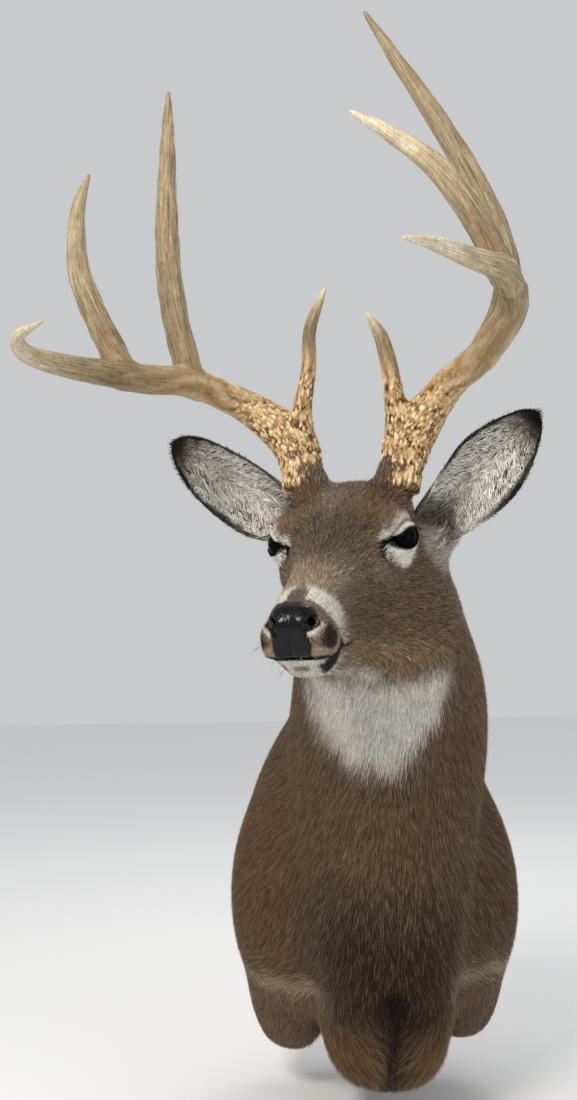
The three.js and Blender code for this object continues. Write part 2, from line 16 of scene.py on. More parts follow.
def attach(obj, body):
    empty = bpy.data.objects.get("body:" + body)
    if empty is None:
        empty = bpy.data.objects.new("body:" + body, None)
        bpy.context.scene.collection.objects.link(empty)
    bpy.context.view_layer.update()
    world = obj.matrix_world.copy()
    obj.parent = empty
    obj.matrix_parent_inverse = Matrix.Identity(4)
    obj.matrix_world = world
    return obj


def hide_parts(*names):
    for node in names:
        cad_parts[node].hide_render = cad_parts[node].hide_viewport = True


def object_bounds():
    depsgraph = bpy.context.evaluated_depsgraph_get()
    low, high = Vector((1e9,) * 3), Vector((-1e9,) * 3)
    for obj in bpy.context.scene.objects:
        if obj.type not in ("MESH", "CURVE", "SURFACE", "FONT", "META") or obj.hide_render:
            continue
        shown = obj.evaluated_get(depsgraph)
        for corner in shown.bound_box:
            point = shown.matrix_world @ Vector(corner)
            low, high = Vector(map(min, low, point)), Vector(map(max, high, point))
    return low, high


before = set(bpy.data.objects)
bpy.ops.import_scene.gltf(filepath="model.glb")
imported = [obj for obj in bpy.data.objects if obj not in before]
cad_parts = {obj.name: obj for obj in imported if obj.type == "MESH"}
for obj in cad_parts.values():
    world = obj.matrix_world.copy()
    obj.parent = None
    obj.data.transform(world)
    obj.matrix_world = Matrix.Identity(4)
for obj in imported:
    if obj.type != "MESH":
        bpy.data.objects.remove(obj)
cad_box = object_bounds()

MM = 0.001

# ---------- driving dimensions, the same as the solids' ----------
EYE_MIDDLE = np.array([-56.5, -391.0, 353.0])  # midway between the eyes
HEAD_YAW = 18.2
HEAD_PITCH = -18.95
HEAD_ROLL = 1.4
NOSE_REACH = 206
EYE_RADIUS = 17.0
EYE_PLACE = (3.5, 2.5, 55.0)  # forward, up, out

# head stations: forward, top, bottom, half width, height of widest point, squareness
HEAD_STATIONS = [
    (-125, 24, -78, 42, -30, 2.0), (-95, 43, -100, 56, -24, 2.1), (-60, 51, -116, 62, -16, 2.2),
    (-25, 50, -122, 61, -8, 2.3), (5, 44, -124, 56, -6, 2.3), (40, 35, -117, 45, -14, 2.3),
    (80, 25, -104, 36, -26, 2.3), (120, 17, -90, 31, -34, 2.4), (160, 9, -76, 29.5, -34, 2.5),
    (190, 4, -74, 27.5, -30, 2.5), (215, 1, -70, 24, -26, 2.5),
]
# outline of the muzzle's front, seen from the side: height, reach past the nose pad's front
MUZZLE_FRONT = [
    (-110, -56), (-75, -28), (-62, -15), (-46, -2), (-22, 5), (0, -2), (14, -12), (40, -56),
]
# neck and chest column: height, front, back, middle, half width, squareness
NECK_STATIONS = [
    (-231, -205, -120, 4, 32, 2.0), (-210, -248, -90, 4, 54, 2.1), (-175, -280, -40, 2, 72, 2.2),
    (-125, -304, 60, 1, 88, 2.2), (-65, -316, 90, 0, 104, 2.2), (5, -327, 100, 1, 113, 2.2),
    (75, -340, 100, 5, 114, 2.1), (135, -354, 70, 9, 114, 2.1), (190, -370, 10, 9, 109, 2.1),
    (235, -380, -78, 3, 101, 2.1), (275, -385, -140, -5, 91, 2.1), (315, -384, -192, -12, 82, 2.1),
    (355, -372, -238, -19, 66, 2.0), (400, -350, -280, -26, 38, 2.0),
]
BARREL = ((0, -40, -7), (152, 165, 207))
SHOULDER = ((88, -112, -35), (79, 104, 134))
FORELEG = ((92, -72, -119), (57, 77, 106))
FORELEG_SOLE = -216
LEFT_FORELEG_SHIFT = 8  # the left stump is this much higher and further out
BRISKET = ((28, -205, -155), (40, 60, 60))
BOARD_HALF = (124, 171)
BOARD_SQUARENESS = 2.3
BOARD_THICKNESS = 19

EAR_WIDTHS = [
    (0, 0.5), (0.15, 0.68), (0.35, 0.93), (0.55, 1), (0.75, 0.83), (0.9, 0.53), (0.97, 0.27), (1, 0.05),
]
EAR_CUP = [(0, 115), (0.2, 95), (0.5, 62), (0.75, 46), (1, 30)]  # half angle of the cupped section
EARS = {
    "left": {"base": (-92, -13, 60), "tip": (-120, 91, 182), "turn": 14, "halves": (37, 38)},
    "right": {"base": (-100, -3, -49), "tip": (-114, 89, -200), "turn": -8, "halves": (36, 40)},
}

# antlers: places are out from the middle, forward and up, between the pedicles. worn_tips is how
# far the tips of the beam, brow, second and third tines are worn pale
BEAM_RADII = [
    (0, 20), (0.035, 20.5), (0.07, 21.4), (0.13, 22), (0.2, 18), (0.3, 15), (0.5, 14), (0.66, 11.2),
    (0.75, 9.6), (0.9, 5.9), (1, 1.6),
]
TINE_RADII = [(0, 0.5), (0.1, 0.93), (0.25, 0.93), (0.5, 0.84), (0.75, 0.6), (0.9, 0.38), (1, 0.12)]
BROW_RADII = [(0, 1.3), (0.15, 1.12), (0.3, 0.9), (0.5, 0.73), (0.75, 0.6), (0.9, 0.41), (1, 0.12)]
# how far the bone is worn pale and smooth, by share of each part's length
BEAM_WORN = [(0, 0), (0.3, 0.3), (0.6, 0.5), (0.78, 0.82), (1, 1.0)]
BROW_WORN = [(0, 0.06), (0.45, 0.2), (0.85, 0.7), (1, 1.0)]
TINE_WORN = [(0, 0.38), (0.5, 0.74), (0.85, 0.94), (1, 1.0)]
# each part's key, its radii and how many samples its path has
ANTLER_PARTS = [
    ("beam", BEAM_RADII, 220), ("brow_tine", BROW_RADII, 130), ("second_tine", TINE_RADII, 130),
    ("third_tine", TINE_RADII, 130),
]
ANTLERS = {
    "left": {
        "side": 1,
        "beam": [(48.5, 1, -20), (52, -7, 10), (62, -13, 35), (98, 2, 75.5), (142, 46, 97.5), (177, 112, 123),
                 (176, 172, 136), (152, 240, 135), (134, 284, 134), (119, 320, 129)],
        "brow_tine": (12, [(52, -12, 26), (48, 2, 62), (46, 12, 91), (41, 22, 124), (27, 22, 152)]),
        "second_tine": (13, [(142, 46, 97), (167, 74, 138), (169, 92, 174), (145, 118, 243), (60, 142, 394)]),
        "third_tine": (12.6, [(176, 158, 132), (159, 188, 175), (129, 206, 220), (94, 213, 250),
                              (60, 216, 274)]),
        "worn_tips": (1.0, 0.95, 0.62, 1.0),
    },
    "right": {
        "side": -1,
        "beam": [(50, 1, -14), (53, -7, 14), (66, -12, 41), (105, -8, 73), (146, 40, 93), (178, 108, 89.5),
                 (206, 190, 86.5), (219, 258, 86), (205, 302, 90), (170, 330, 93)],
        "brow_tine": (10, [(56, -12, 32), (47, 2, 68), (36.5, 14, 101), (29, 27, 143), (12, 30, 180)]),
        "second_tine": (14, [(147, 40, 91), (155, 63, 146), (155, 84, 205), (139, 114, 361)]),
        "third_tine": (13, [(184, 126, 90), (198, 150, 131), (210, 170, 181), (204, 182, 234),
                            (190, 188, 262)]),
        "worn_tips": (0.9, 0.95, 0.62, 0.72),
    },
}


# ---------- small numeric helpers ----------
def unit(v):
    v = np.asarray(v, float)
    return v / np.maximum(np.linalg.norm(v, axis=-1, keepdims=True), 1e-9)


def smooth(x, low, high):
    """0 at low, 1 at high, with soft ends. low may be the larger number."""
    t = np.clip((x - low) / (high - low), 0, 1)
    return t * t * (3 - 2 * t)


def mix(a, b, share):
    return a + (b - a) * share


def spline(x, rows, column=1):
    """Smooth curve through a table of (place, value) rows."""
    table = np.array(rows, float)
    places, values = table[:, 0], table[:, column]
    last = len(places) - 1
    before = np.maximum(np.arange(last + 1) - 1, 0)
    after = np.minimum(np.arange(last + 1) + 1, last)
    slope = (values[after] - values[before]) / (places[after] - places[before])
    i = np.clip(np.searchsorted(places, x) - 1, 0, last - 1)
    width = places[i + 1] - places[i]
    t = np.clip((x - places[i]) / width, 0, 1)
    return ((2 * t**3 - 3 * t**2 + 1) * values[i] + (t**3 - 2 * t**2 + t) * width * slope[i]
            + (3 * t**2 - 2 * t**3) * values[i + 1] + (t**3 - t**2) * width * slope[i + 1])


def read_rows(x, rows):
    """Straight-line reading of a table of (place, value) rows."""
    places, values = zip(*rows)
    return np.interp(x, places, values)


def blend(a, b, reach):
    """The lower of two fields, with the corner between them rounded."""
    h = np.maximum(reach - np.abs(a - b), 0) / reach
    return np.minimum(a, b) - h * h * reach / 4


def carve(a, b, reach):
    """The higher of two fields, with the corner between them rounded."""
    return -blend(-a, -b, reach)


def ellipsoid(x, y, z, radii):
    rx, ry, rz = radii
    scaled = np.sqrt((x / rx) ** 2 + (y / ry) ** 2 + (z / rz) ** 2)
    slope = np.sqrt((x / rx**2) ** 2 + (y / ry**2) ** 2 + (z / rz**2) ** 2) + 1e-9
    return scaled * (scaled - 1) / slope


def round_cone(x, y, z, a, b, radius_a, radius_b):
    ab = np.subtract(b, a)
    t = np.clip(((x - a[0]) * ab[0] + (y - a[1]) * ab[1] + (z - a[2]) * ab[2]) / (ab @ ab), 0, 1)
    away = np.sqrt((x - a[0] - t * ab[0]) ** 2 + (y - a[1] - t * ab[1]) ** 2 + (z - a[2] - t * ab[2]) ** 2)
    return away - (radius_a + (radius_b - radius_a) * t)


def section(across, along, a, b, n):
    """Superellipse section with half sizes a and b and exponent n."""
    p = np.abs(across) / a
    q = np.abs(along) / b
    k = (p**n + q**n + 1e-9) ** (1 / n)
    slope = np.hypot(p ** (n - 1) / a, q ** (n - 1) / b) * (k + 1e-6) ** (1 - n)
    return (k - 1) / np.maximum(slope, 1 / np.maximum(a, b))


def line_distance(x, y, points):
    """Distance in a plane from (x, y) to a line of points."""
    best = np.full(np.shape(x), 1e9)
    for (ax, ay), (bx, by) in zip(points[:-1], points[1:]):
        ex, ey = bx - ax, by - ay
        t = np.clip(((x - ax) * ex + (y - ay) * ey) / (ex * ex + ey * ey), 0, 1)
        best = np.minimum(best, np.hypot(x - ax - t * ex, y - ay - t * ey))
    return best


RIPPLE_WAVES = 5


def ripple(p, size, seed):
    """Smooth noise from -1 to 1, made of a few crossing waves about size long."""
    dice = np.random.default_rng(seed)
    total = np.zeros(len(p))
    for _ in range(RIPPLE_WAVES):
        direction = unit(dice.normal(size=3))
        length = size * dice.uniform(0.7, 1.5)
        total += np.sin(p @ direction * (2 * math.pi / length) + dice.uniform(0, 2 * math.pi))
    return np.clip(total / RIPPLE_WAVES * 1.6, -1, 1)


# ---------- the head's own frame ----------
def head_frame():
    yaw, pitch, roll = np.radians([HEAD_YAW, HEAD_PITCH, HEAD_ROLL])
    forward = np.array([
        -math.sin(yaw) * math.cos(pitch), -math.cos(yaw) * math.cos(pitch), math.sin(pitch)])
    level = np.array([math.cos(yaw), -math.sin(yaw), 0])
    upright = -np.cross(level, forward)
    left = level * math.cos(roll) + upright * math.sin(roll)
    up = upright * math.cos(roll) - level * math.sin(roll)
    return forward, up, left


FORWARD, UP, LEFT = head_frame()
HEAD_AXES = np.array([FORWARD, UP, LEFT])


def head_coordinates(p):
    """How far forward, up and left of the place between the eyes."""
    q = p - EYE_MIDDLE
    return q @ FORWARD, q @ UP, q @ LEFT


def head_point(forward, up, left):
    return EYE_MIDDLE + forward * FORWARD + up * UP + left * LEFT


# ---------- the flesh as a field: negative inside, about one per millimetre ----------
def head_field(u, v, w):
    side = np.abs(w)
    top, bottom, half, widest, square = (spline(u, HEAD_STATIONS, c) for c in range(1, 6))
    d = section(w, v - widest, half, np.where(v > widest, top - widest, widest - bottom), square)
    d = carve(d, (u - NOSE_REACH - spline(v, MUZZLE_FRONT)) * 0.9, 16)
    d = carve(d, -(u + 112) * 0.9, 40)
    d = blend(d, ellipsoid(u, v - 19, side - 50, (34, 14, 15)), 16)  # brow
    d = blend(d, ellipsoid(u + 1, v - 1, side - 43.5, (31, 25, 20.5)), 12)  # round the eye
    d = blend(d, ellipsoid(u - 15, v + 21, side - 45, (41, 14, 11.5)), 22)  # cheek bone
    d = blend(d, ellipsoid(u + 18, v + 66, side - 34, (48, 48, 24)), 22)  # jaw muscle
    d = blend(d, round_cone(u, v, side, (-62, 24, 34), (-69, 52, 45), 26, 21), 16)  # pedicle
    d = blend(d, round_cone(u, v, side, (-92, -38, 52), (-100, -22, 83), 22, 20), 14)  # root of the ear
    return blend(d, ellipsoid(u - 184, v + 37, side - 17, (22, 14, 12)), 10)  # upper lip


def body_field(x, y, z):
    side = np.abs(x)
    front, back, middle, half, square = (spline(z, NECK_STATIONS, c) for c in range(1, 6))
    depth = (back - front) / 2
    d = section(x - middle, y - front - depth, half, depth, square) * 0.85
    d = carve(d, z - 397, 30)
    d = carve(d, -z - 231, 30)
    shift = np.where(x > 0, LEFT_FORELEG_SHIFT, 0)
    (bx, by, bz), (sx, sy, sz), (lx, ly, lz), (cx, cy, cz) = (
        place for place, _ in (BARREL, SHOULDER, FORELEG, BRISKET))
    d = blend(d, ellipsoid(x - bx, y - by, z - bz, BARREL[1]), 36)
    d = blend(d, ellipsoid(side - sx, y - sy, z - sz, SHOULDER[1]), 34)
    leg = ellipsoid(side - lx - shift, y - ly, z - lz - shift, FORELEG[1])
    d = blend(d, carve(leg, FORELEG_SOLE + shift - z, 16), 18)
    return blend(d, ellipsoid(side - cx, y - cy, z - cz, BRISKET[1]), 20)


# ---------- how deep the coat lies ----------
def coat_depth(p, u, v, w):
    x, _, z = p.T
    side = np.abs(w)
    face = smooth(u, -105, -15) * smooth(v, -175, -125)
    head = smooth(u, -140, -60) * smooth(v, -150, -110)
    muzzle = smooth(u, 120, 190) * head
    crown = smooth(u, -115, -85) * smooth(u, -20, -50) * smooth(v, 20, 40) * smooth(side, 44, 20)
    round_eye = smooth(np.hypot(np.hypot(u - 4, v - 2), side - 55), 36, 21)
    stub = smooth(z, -112, -150) * smooth(np.abs(x), 66, 84)
    brisket = smooth(z, -130, -180) * smooth(np.abs(x), 84, 60)
    depth = mix(6.0, 3.0, face)
    depth = mix(depth, 1.6, muzzle)
    depth = depth + 5.0 * crown
    depth = mix(depth, 1.0, round_eye)
    depth = mix(depth, 4.0, stub)
    return depth + 4.0 * brisket


# ---------- eyes, nose and mouth ----------
EYE_OUT = unit([0.47, 0.10, 0.88])  # forward, up, out: where the eye looks
EYE_FRONT = np.array([41.0, -8.0, -19.0])  # from the rear corner to the front one
EYE_FRONT = unit(EYE_FRONT - (EYE_FRONT @ EYE_OUT) * EYE_OUT)
EYE_UP = np.cross(EYE_OUT, EYE_FRONT)
EYE_UP = EYE_UP * np.sign(EYE_UP[1])
LID_RADIUS = 19.2
# the lids' edges are arcs: place of each arc's middle towards the front and up, and its radius
LID_ARCS = [(3.5, -14.0, 23.8), (2.5, 9.5, 17.2), (2.0, 1.5, 18.0)]
MOUTH_LINE = [(222, -41), (204, -42), (182, -47), (152, -53), (130, -56), (114, -61)]
TEAR_DUCT = [(18, 8), (28, 7.5), (33, 4.5), (37, 0.5), (40, -5), (42, -11)]
NOSE_MIDDLE = -1.5  # the pad's middle, to the left


def eye_coordinates(u, v, side):
    """Places seen along the way the eye looks: towards its front corner, up, and out."""
    q = np.stack([u - EYE_PLACE[0], v - EYE_PLACE[1], side - EYE_PLACE[2]], -1)
    return q @ EYE_FRONT, q @ EYE_UP, q @ EYE_OUT, np.linalg.norm(q, axis=-1)


def lid_opening(a, b):
    """Almond between the lids: negative inside."""
    return np.max([np.hypot(a - x, b - y) - radius for x, y, radius in LID_ARCS], axis=0)


def groove(d, line, width, depth, soft):
    """Cuts a groove along a line given by the distance to it, into the surface d = 0."""
    return carve(d, -np.maximum(line - width / 2, -d - depth), soft)


def face_details(d, u, v, w):
    side = np.abs(w)
    # lower jaw narrower than the upper lip, so that the lip hangs over it
    below = read_rows(u, MOUTH_LINE[::-1]) - v
    d = d + 3.2 * smooth(u, 110, 150) * smooth(below, -0.5, 1.5) * smooth(below, 26, 8)
    d = groove(d, line_distance(u, v, MOUTH_LINE), 1.8, 5.0, 2.0)
    # upper lip's pad below the nostril, and the nostril's wing
    d = blend(d, ellipsoid(u - 196, v + 23, side - 22, (11, 8, 7)), 6)
    d = blend(d, ellipsoid(u - 186, v + 33, side - 22, (17, 10, 8)), 8)
    d = blend(d, wing_ridge(u, v, side) - WING_RADIUS, 4)
    return nostrils(d, u, v, side)


NOSTRIL = [(210, -11.5, 15.5), (203, -9.5, 20), (197, -4.5, 21), (189, -1.5, 22.5)]
NOSTRIL_RADII = [4.2, 4.4, 2.2, 1.5]
NOSTRIL_STEPS = list(zip(NOSTRIL[:-1], NOSTRIL[1:], NOSTRIL_RADII[:-1], NOSTRIL_RADII[1:]))
WING = [(209, -19.5, 12.5), (208, -18.5, 18), (201, -15.5, 23)]
WING_RADIUS = 2.2


def wing_ridge(u, v, side):
    return np.min([round_cone(u, v, side, a, b, 0, 0) for a, b in zip(WING[:-1], WING[1:])], axis=0)


def nostrils(d, u, v, side, wider=0.0):
    """Cuts both nostrils: a round mouth with a slit that curls up and back over the wing."""
    for a, b, start, end in NOSTRIL_STEPS:
        d = carve(d, -round_cone(u, v, side, a, b, start + wider, end + wider), 1.6)
    return carve(d, -round_cone(u, v, side, (203, -10.5, 18), (187, -19, 9), 4.0 + wider, 3.0), 1.6)


def eye_details(d, u, v, w):
    side = np.abs(w)
    # eye: lids over the ball, a crease over and under them, and the tear duct
    a, b, out, away = eye_coordinates(u, v, side)
    near = (away < 60) & (out > -6)
    lids = blend(d, away - LID_RADIUS, 7)
    rim = lid_opening(a, b)
    lids = groove(lids, np.where(b > 2, np.abs(rim - 7.0), 50), 2.0, 2.0, 2.4)
    lids = groove(lids, np.where((b < -1) & (a < 18), np.abs(rim - 5.6), 50), 1.8, 1.0, 2.4)
    lids = groove(lids, np.where((b < -3) & (a < 12), np.abs(rim - 13.0), 50), 2.4, 0.8, 3.0)
    opening = np.maximum(rim, -2.5 - out)
    opening = np.maximum(opening, -lids - 4.5)
    lids = carve(lids, -opening, 1.4)
    lids = np.maximum(lids, EYE_RADIUS + 0.15 - away)
    d = np.where(near, lids, d)
    return groove(d, np.where(side > 25, line_distance(u, v, TEAR_DUCT), 50), 3.0, 2.2, 2.6)


CLEARANCE = 0.4  # gap that the hide keeps from the board and from the wall
FACE_LOWEST = 170.0  # the head's field is only worked out above this level


def board_pocket(p):
    x, y, z = p.T
    a, b = BOARD_HALF
    flat = section(x, z, a, b, BOARD_SQUARENESS)
    return np.maximum(flat - CLEARANCE, -BOARD_THICKNESS - CLEARANCE - y)


def hide_field(p):
    """The hide as a field: negative inside."""
    x, y, z = p.T
    body = body_field(x, y, z)
    u, v, w = head_coordinates(p)
    d = body.copy()
    high = z > FACE_LOWEST
    uh, vh, wh = u[high], v[high], w[high]
    d[high] = blend(head_field(uh, vh, wh), body[high], 30)
    d = d + coat_depth(p, u, v, w)
    d[high] = eye_details(face_details(d[high], uh, vh, wh), uh, vh, wh)
    d = np.maximum(d, y + CLEARANCE)
    return np.maximum(d, -board_pocket(p))


GRADIENT_STEP = 0.35


def gradient(field, p):
    parts = []
    for axis in range(3):
        shift = np.zeros(3)
        shift[axis] = GRADIENT_STEP
        parts.append(field(p + shift) - field(p - shift))
    return np.stack(parts, 1) / (2 * GRADIENT_STEP)


# ---------- closed surface round a field ----------
BLOCK = 4  # grid steps along each side of a block that is worked out or skipped as one
STEEPEST = 1.35  # the most that the field is taken to change in a millimetre
SLACK = 1.5  # added to that reach, so that no block the surface crosses is skipped
BLOCKS_AT_ONCE = 3000
LEAST_SLOPE = 0.25  # the square of the slope, so that a flat field gives no long steps
LONGEST_STEP = 1.2


def uneven_axis(low, high, fine_low, fine_high, fine, coarse):
    """Grid places from low to high, close together between fine_low and fine_high."""
    places = [np.arange(low, fine_low, coarse), np.arange(fine_low, fine_high, fine),
              np.arange(fine_high, high + coarse, coarse)]
    axis = np.concatenate(places)
    extra = (-(len(axis) - 1)) % BLOCK
    return np.concatenate([axis, axis[-1] + coarse * np.arange(1, extra + 1)])


def sample_grid(field, axes):
    """The field at all grid places, worked out only in blocks that the surface may cross."""
    counts = [len(a) for a in axes]
    values = np.ones(counts, np.float32)
    blocks = [(c - 1) // BLOCK for c in counts]
    starts = [a[:-1:BLOCK] for a in axes]
    ends = [a[BLOCK::BLOCK] for a in axes]
    middles = np.stack(np.meshgrid(*[(s + e) / 2 for s, e in zip(starts, ends)], indexing="ij"), -1)
    halves = np.stack(np.meshgrid(*[(e - s) / 2 for s, e in zip(starts, ends)], indexing="ij"), -1)
    reach = np.linalg.norm(halves, axis=-1).ravel() * STEEPEST + SLACK
    at_middle = field(middles.reshape(-1, 3))
    far = np.where(np.abs(at_middle) >= reach, np.sign(at_middle), 1).reshape(blocks).astype(np.float32)
    values[:-1, :-1, :-1] = np.kron(far, np.ones((BLOCK, BLOCK, BLOCK), np.float32))
    active = np.argwhere((np.abs(at_middle) < reach).reshape(blocks))
    offsets = np.stack(np.meshgrid(*[np.arange(BLOCK + 1)] * 3, indexing="ij"), -1).reshape(-1, 3)
    for chunk in np.array_split(active, max(1, len(active) // BLOCKS_AT_ONCE)):
        nodes = (chunk[:, None, :] * BLOCK + offsets[None]).reshape(-1, 3)
        flat = np.unique(np.ravel_multi_index(nodes.T, counts))
        i, j, k = np.unravel_index(flat, counts)
        values[i, j, k] = field(np.stack([axes[0][i], axes[1][j], axes[2][k]], 1))
    return values


def surface_nets(values, axes):
    """One vertex in each cell that the surface crosses, and a quad round each crossed edge."""
    inside = values < 0
    nx, ny, nz = inside.shape
    count = np.zeros((nx - 1, ny - 1, nz - 1), np.int8)
    corners = [(i, j, k) for i in (0, 1) for j in (0, 1) for k in (0, 1)]
    for i, j, k in corners:
        count += inside[i:nx - 1 + i, j:ny - 1 + j, k:nz - 1 + k]
    cells = np.argwhere((count > 0) & (count < 8))
    number = np.full(count.shape, -1, np.int32)
    number[tuple(cells.T)] = np.arange(len(cells))
    total = np.zeros((len(cells), 3))
    crossings = np.zeros(len(cells))
    for axis in range(3):
        for corner in corners:
            if corner[axis]:
                continue
            other = list(corner)
            other[axis] = 1
            first = cells + corner
            second = cells + other
            a = values[tuple(first.T)]
            b = values[tuple(second.T)]
            crossed = (a < 0) != (b < 0)
            t = np.where(crossed, a / np.where(crossed, a - b, 1), 0)[:, None]
            start = np.stack([axes[m][first[:, m]] for m in range(3)], 1)
            end = np.stack([axes[m][second[:, m]] for m in range(3)], 1)
            total += np.where(crossed[:, None], start + (end - start) * t, 0)
            crossings += crossed
    quads = []
    for axis in range(3):
        b, c = (axis + 1) % 3, (axis + 2) % 3
        low = [slice(1, -1)] * 3
        low[axis] = slice(0, -1)
        high = list(low)
        high[axis] = slice(1, None)
        here = inside[tuple(low)]
        edge = np.argwhere(here != inside[tuple(high)])
        outward = here[tuple(edge.T)]
        edge = edge + 1
        edge[:, axis] -= 1
        ring = []
        for db, dc in ((1, 1), (0, 1), (0, 0), (1, 0)):
            cell = edge.copy()
            cell[:, b] -= db
            cell[:, c] -= dc
            ring.append(number[tuple(cell.T)])
        quad = np.stack(ring, 1)
        quads.append(np.where(outward[:, None], quad, quad[:, ::-1]))
    return total / crossings[:, None], np.concatenate(quads)


def settle(field, vertices, rounds):
    """Moves vertices onto the surface field = 0."""
    for _ in range(rounds):
        slope = gradient(field, vertices)
        step = field(vertices) / np.maximum((slope**2).sum(1), LEAST_SLOPE)
        vertices = vertices - np.clip(step, -LONGEST_STEP, LONGEST_STEP)[:, None] * slope
    return vertices


# ---------- meshes ----------
def mesh_object(name, vertices, faces, material, attributes=None):
    """A smooth-shaded object from vertices in millimetres and one array of equal-sided faces."""
    mesh = bpy.data.meshes.new(name)
    vertices = np.asarray(vertices, float) * MM
    faces = np.asarray(faces, np.int32)
    sides = faces.shape[1]
    mesh.vertices.add(len(vertices))
    mesh.vertices.foreach_set("co", vertices.astype(np.float32).ravel())
    mesh.loops.add(faces.size)
    mesh.loops.foreach_set("vertex_index", faces.ravel())
    mesh.polygons.add(len(faces))
    mesh.polygons.foreach_set("loop_start", np.arange(0, faces.size, sides, dtype=np.int32))
    mesh.polygons.foreach_set("use_smooth", np.ones(len(faces), bool))
    mesh.update(calc_edges=True)
    for key, values in (attributes or {}).items():
        set_attribute(mesh, key, values)
    thing = bpy.data.objects.new(name, mesh)
    bpy.context.scene.collection.objects.link(thing)
    mesh.materials.append(material)
    return thing


def set_attribute(mesh, key, values):
    values = np.asarray(values, np.float32)
    if values.ndim == 2:
        layer = mesh.attributes.new(key, "FLOAT_COLOR", "POINT")
        full = np.ones((len(values), 4), np.float32)
        full[:, :3] = values
        layer.data.foreach_set("color", full.ravel())
    else:
        layer = mesh.attributes.new(key, "FLOAT", "POINT")
        layer.data.foreach_set("value", values)


def mesh_arrays(mesh):
    """Vertex places in millimetres and unit normals of a mesh."""
    places = np.empty(len(mesh.vertices) * 3, np.float32)
    mesh.vertices.foreach_get("co", places)
    normals = np.empty(len(mesh.vertices) * 3, np.float32)
    mesh.vertex_normals.foreach_get("vector", normals)
    return places.reshape(-1, 3).astype(float) / MM, normals.reshape(-1, 3).astype(float)


def triangles_of(mesh):
    mesh.calc_loop_triangles()
    triangles = np.empty(len(mesh.loop_triangles) * 3, np.int32)
    mesh.loop_triangles.foreach_get("vertices", triangles)
    return triangles.reshape(-1, 3)


def made_by_modifier(thing, kind, **settings):
    """Gives an object the smooth-shaded mesh that one modifier makes of it."""
    modifier = thing.modifiers.new(kind.lower(), kind)
    for key, value in settings.items():
        setattr(modifier, key, value)
    graph = bpy.context.evaluated_depsgraph_get()
    mesh = bpy.data.meshes.new_from_object(thing.evaluated_get(graph))
    thing.modifiers.clear()
    thing.data = mesh
    mesh.polygons.foreach_set("use_smooth", np.ones(len(mesh.polygons), bool))
    return mesh


# ---------- ears ----------
def ear_frame(ear):
    root = head_point(*ear["base"])
    tip = head_point(*ear["tip"])
    length = np.linalg.norm(tip - root)
    axis = (tip - root) / length
    facing = unit(FORWARD - (FORWARD @ axis) * axis)
    turn = math.radians(ear["turn"])
    facing = facing * math.cos(turn) + np.cross(axis, facing) * math.sin(turn)
    return root, axis, facing, np.cross(axis, facing), length


def ear_coordinates(ear, p):
    """Share of the length, place across from -1 to 1, depth in front of the leaf, and distance to it."""
    root, axis, facing, across, length = ear_frame(ear)
    q = p - root
    s = np.clip(q @ axis / length, 0, 1)
    past = q @ axis - s * length
    spread = np.radians(spline(s, EAR_CUP))
    sideways = q @ across
    half = np.where(sideways > 0, ear["halves"][0], ear["halves"][1]) * spline(s, EAR_WIDTHS)
    radius = half / np.sin(np.minimum(spread, math.pi / 2))
    from_centre = q @ facing - radius
    angle = np.arctan2(sideways, -from_centre)
    reach = np.hypot(sideways, from_centre)
    inside = np.clip(angle, -spread, spread)
    gap = np.hypot(sideways - radius * np.sin(inside), from_centre + radius * np.cos(inside))
    return s, inside / spread, radius - reach, np.hypot(gap, past)


EAR_SKIN = 3.4  # thickness of the bare ear at its base
EAR_STEPS = 96
EAR_SLICES = 56


def ear_leaf(ear):
    """Closed cupped leaf, with ridges on its inner side, whose base runs into the head."""
    root, axis, facing, across, length = ear_frame(ear)
    s_values = np.linspace(-0.16, 0.995, EAR_STEPS + 1)
    t_values = np.sin(np.linspace(-1, 1, EAR_SLICES + 1) * math.pi / 2)
    s, t = np.meshgrid(s_values, t_values, indexing="ij")
    inner_s = np.clip(s, 0, 1)
    spread = np.radians(spline(inner_s.ravel(), EAR_CUP)).reshape(s.shape)
    angle = spread * t
    width = spline(inner_s.ravel(), EAR_WIDTHS).reshape(s.shape)
    half = np.where(angle > 0, ear["halves"][0], ear["halves"][1]) * width
    radius = half / np.sin(np.minimum(spread, math.pi / 2))
    thick = EAR_SKIN * (1 - 0.45 * inner_s) * (1 - 0.6 * np.abs(t) ** 4)
    ridges = 0.9 * np.cos(t * 15) * smooth(np.abs(t), 0.75, 0.4) * smooth(inner_s, 0.75, 0.3)
    wave = 1.2 * np.sin(inner_s * 11 + ear["turn"]) * np.abs(t) ** 3
    layers = []
    for side in (-0.5, 0.5):
        reach = radius + side * thick + wave - (ridges if side < 0 else 0)
        place = (root + axis * (s * length)[..., None] + facing * radius[..., None]
                 - facing * (reach * np.cos(angle))[..., None] + across * (reach * np.sin(angle))[..., None])
        layers.append(place.reshape(-1, 3))
    vertices = np.concatenate(layers)
    rows, columns = EAR_STEPS + 1, EAR_SLICES + 1
    index = np.arange(rows * columns).reshape(rows, columns)
    quads = []

    def add(a, b, c, d):
        quads.append(np.stack([d.ravel(), c.ravel(), b.ravel(), a.ravel()], 1))

    outer = index + rows * columns
    add(index[:-1, :-1], index[1:, :-1], index[1:, 1:], index[:-1, 1:])
    add(outer[:-1, :-1], outer[:-1, 1:], outer[1:, 1:], outer[1:, :-1])
    add(index[:-1, 0], outer[:-1, 0], outer[1:, 0], index[1:, 0])
    add(index[:-1, -1], index[1:, -1], outer[1:, -1], outer[:-1, -1])
    add(index[0, :-1], index[0, 1:], outer[0, 1:], outer[0, :-1])
    add(index[-1, :-1], outer[-1, :-1], outer[-1, 1:], index[-1, 1:])
    return vertices, np.concatenate(quads)


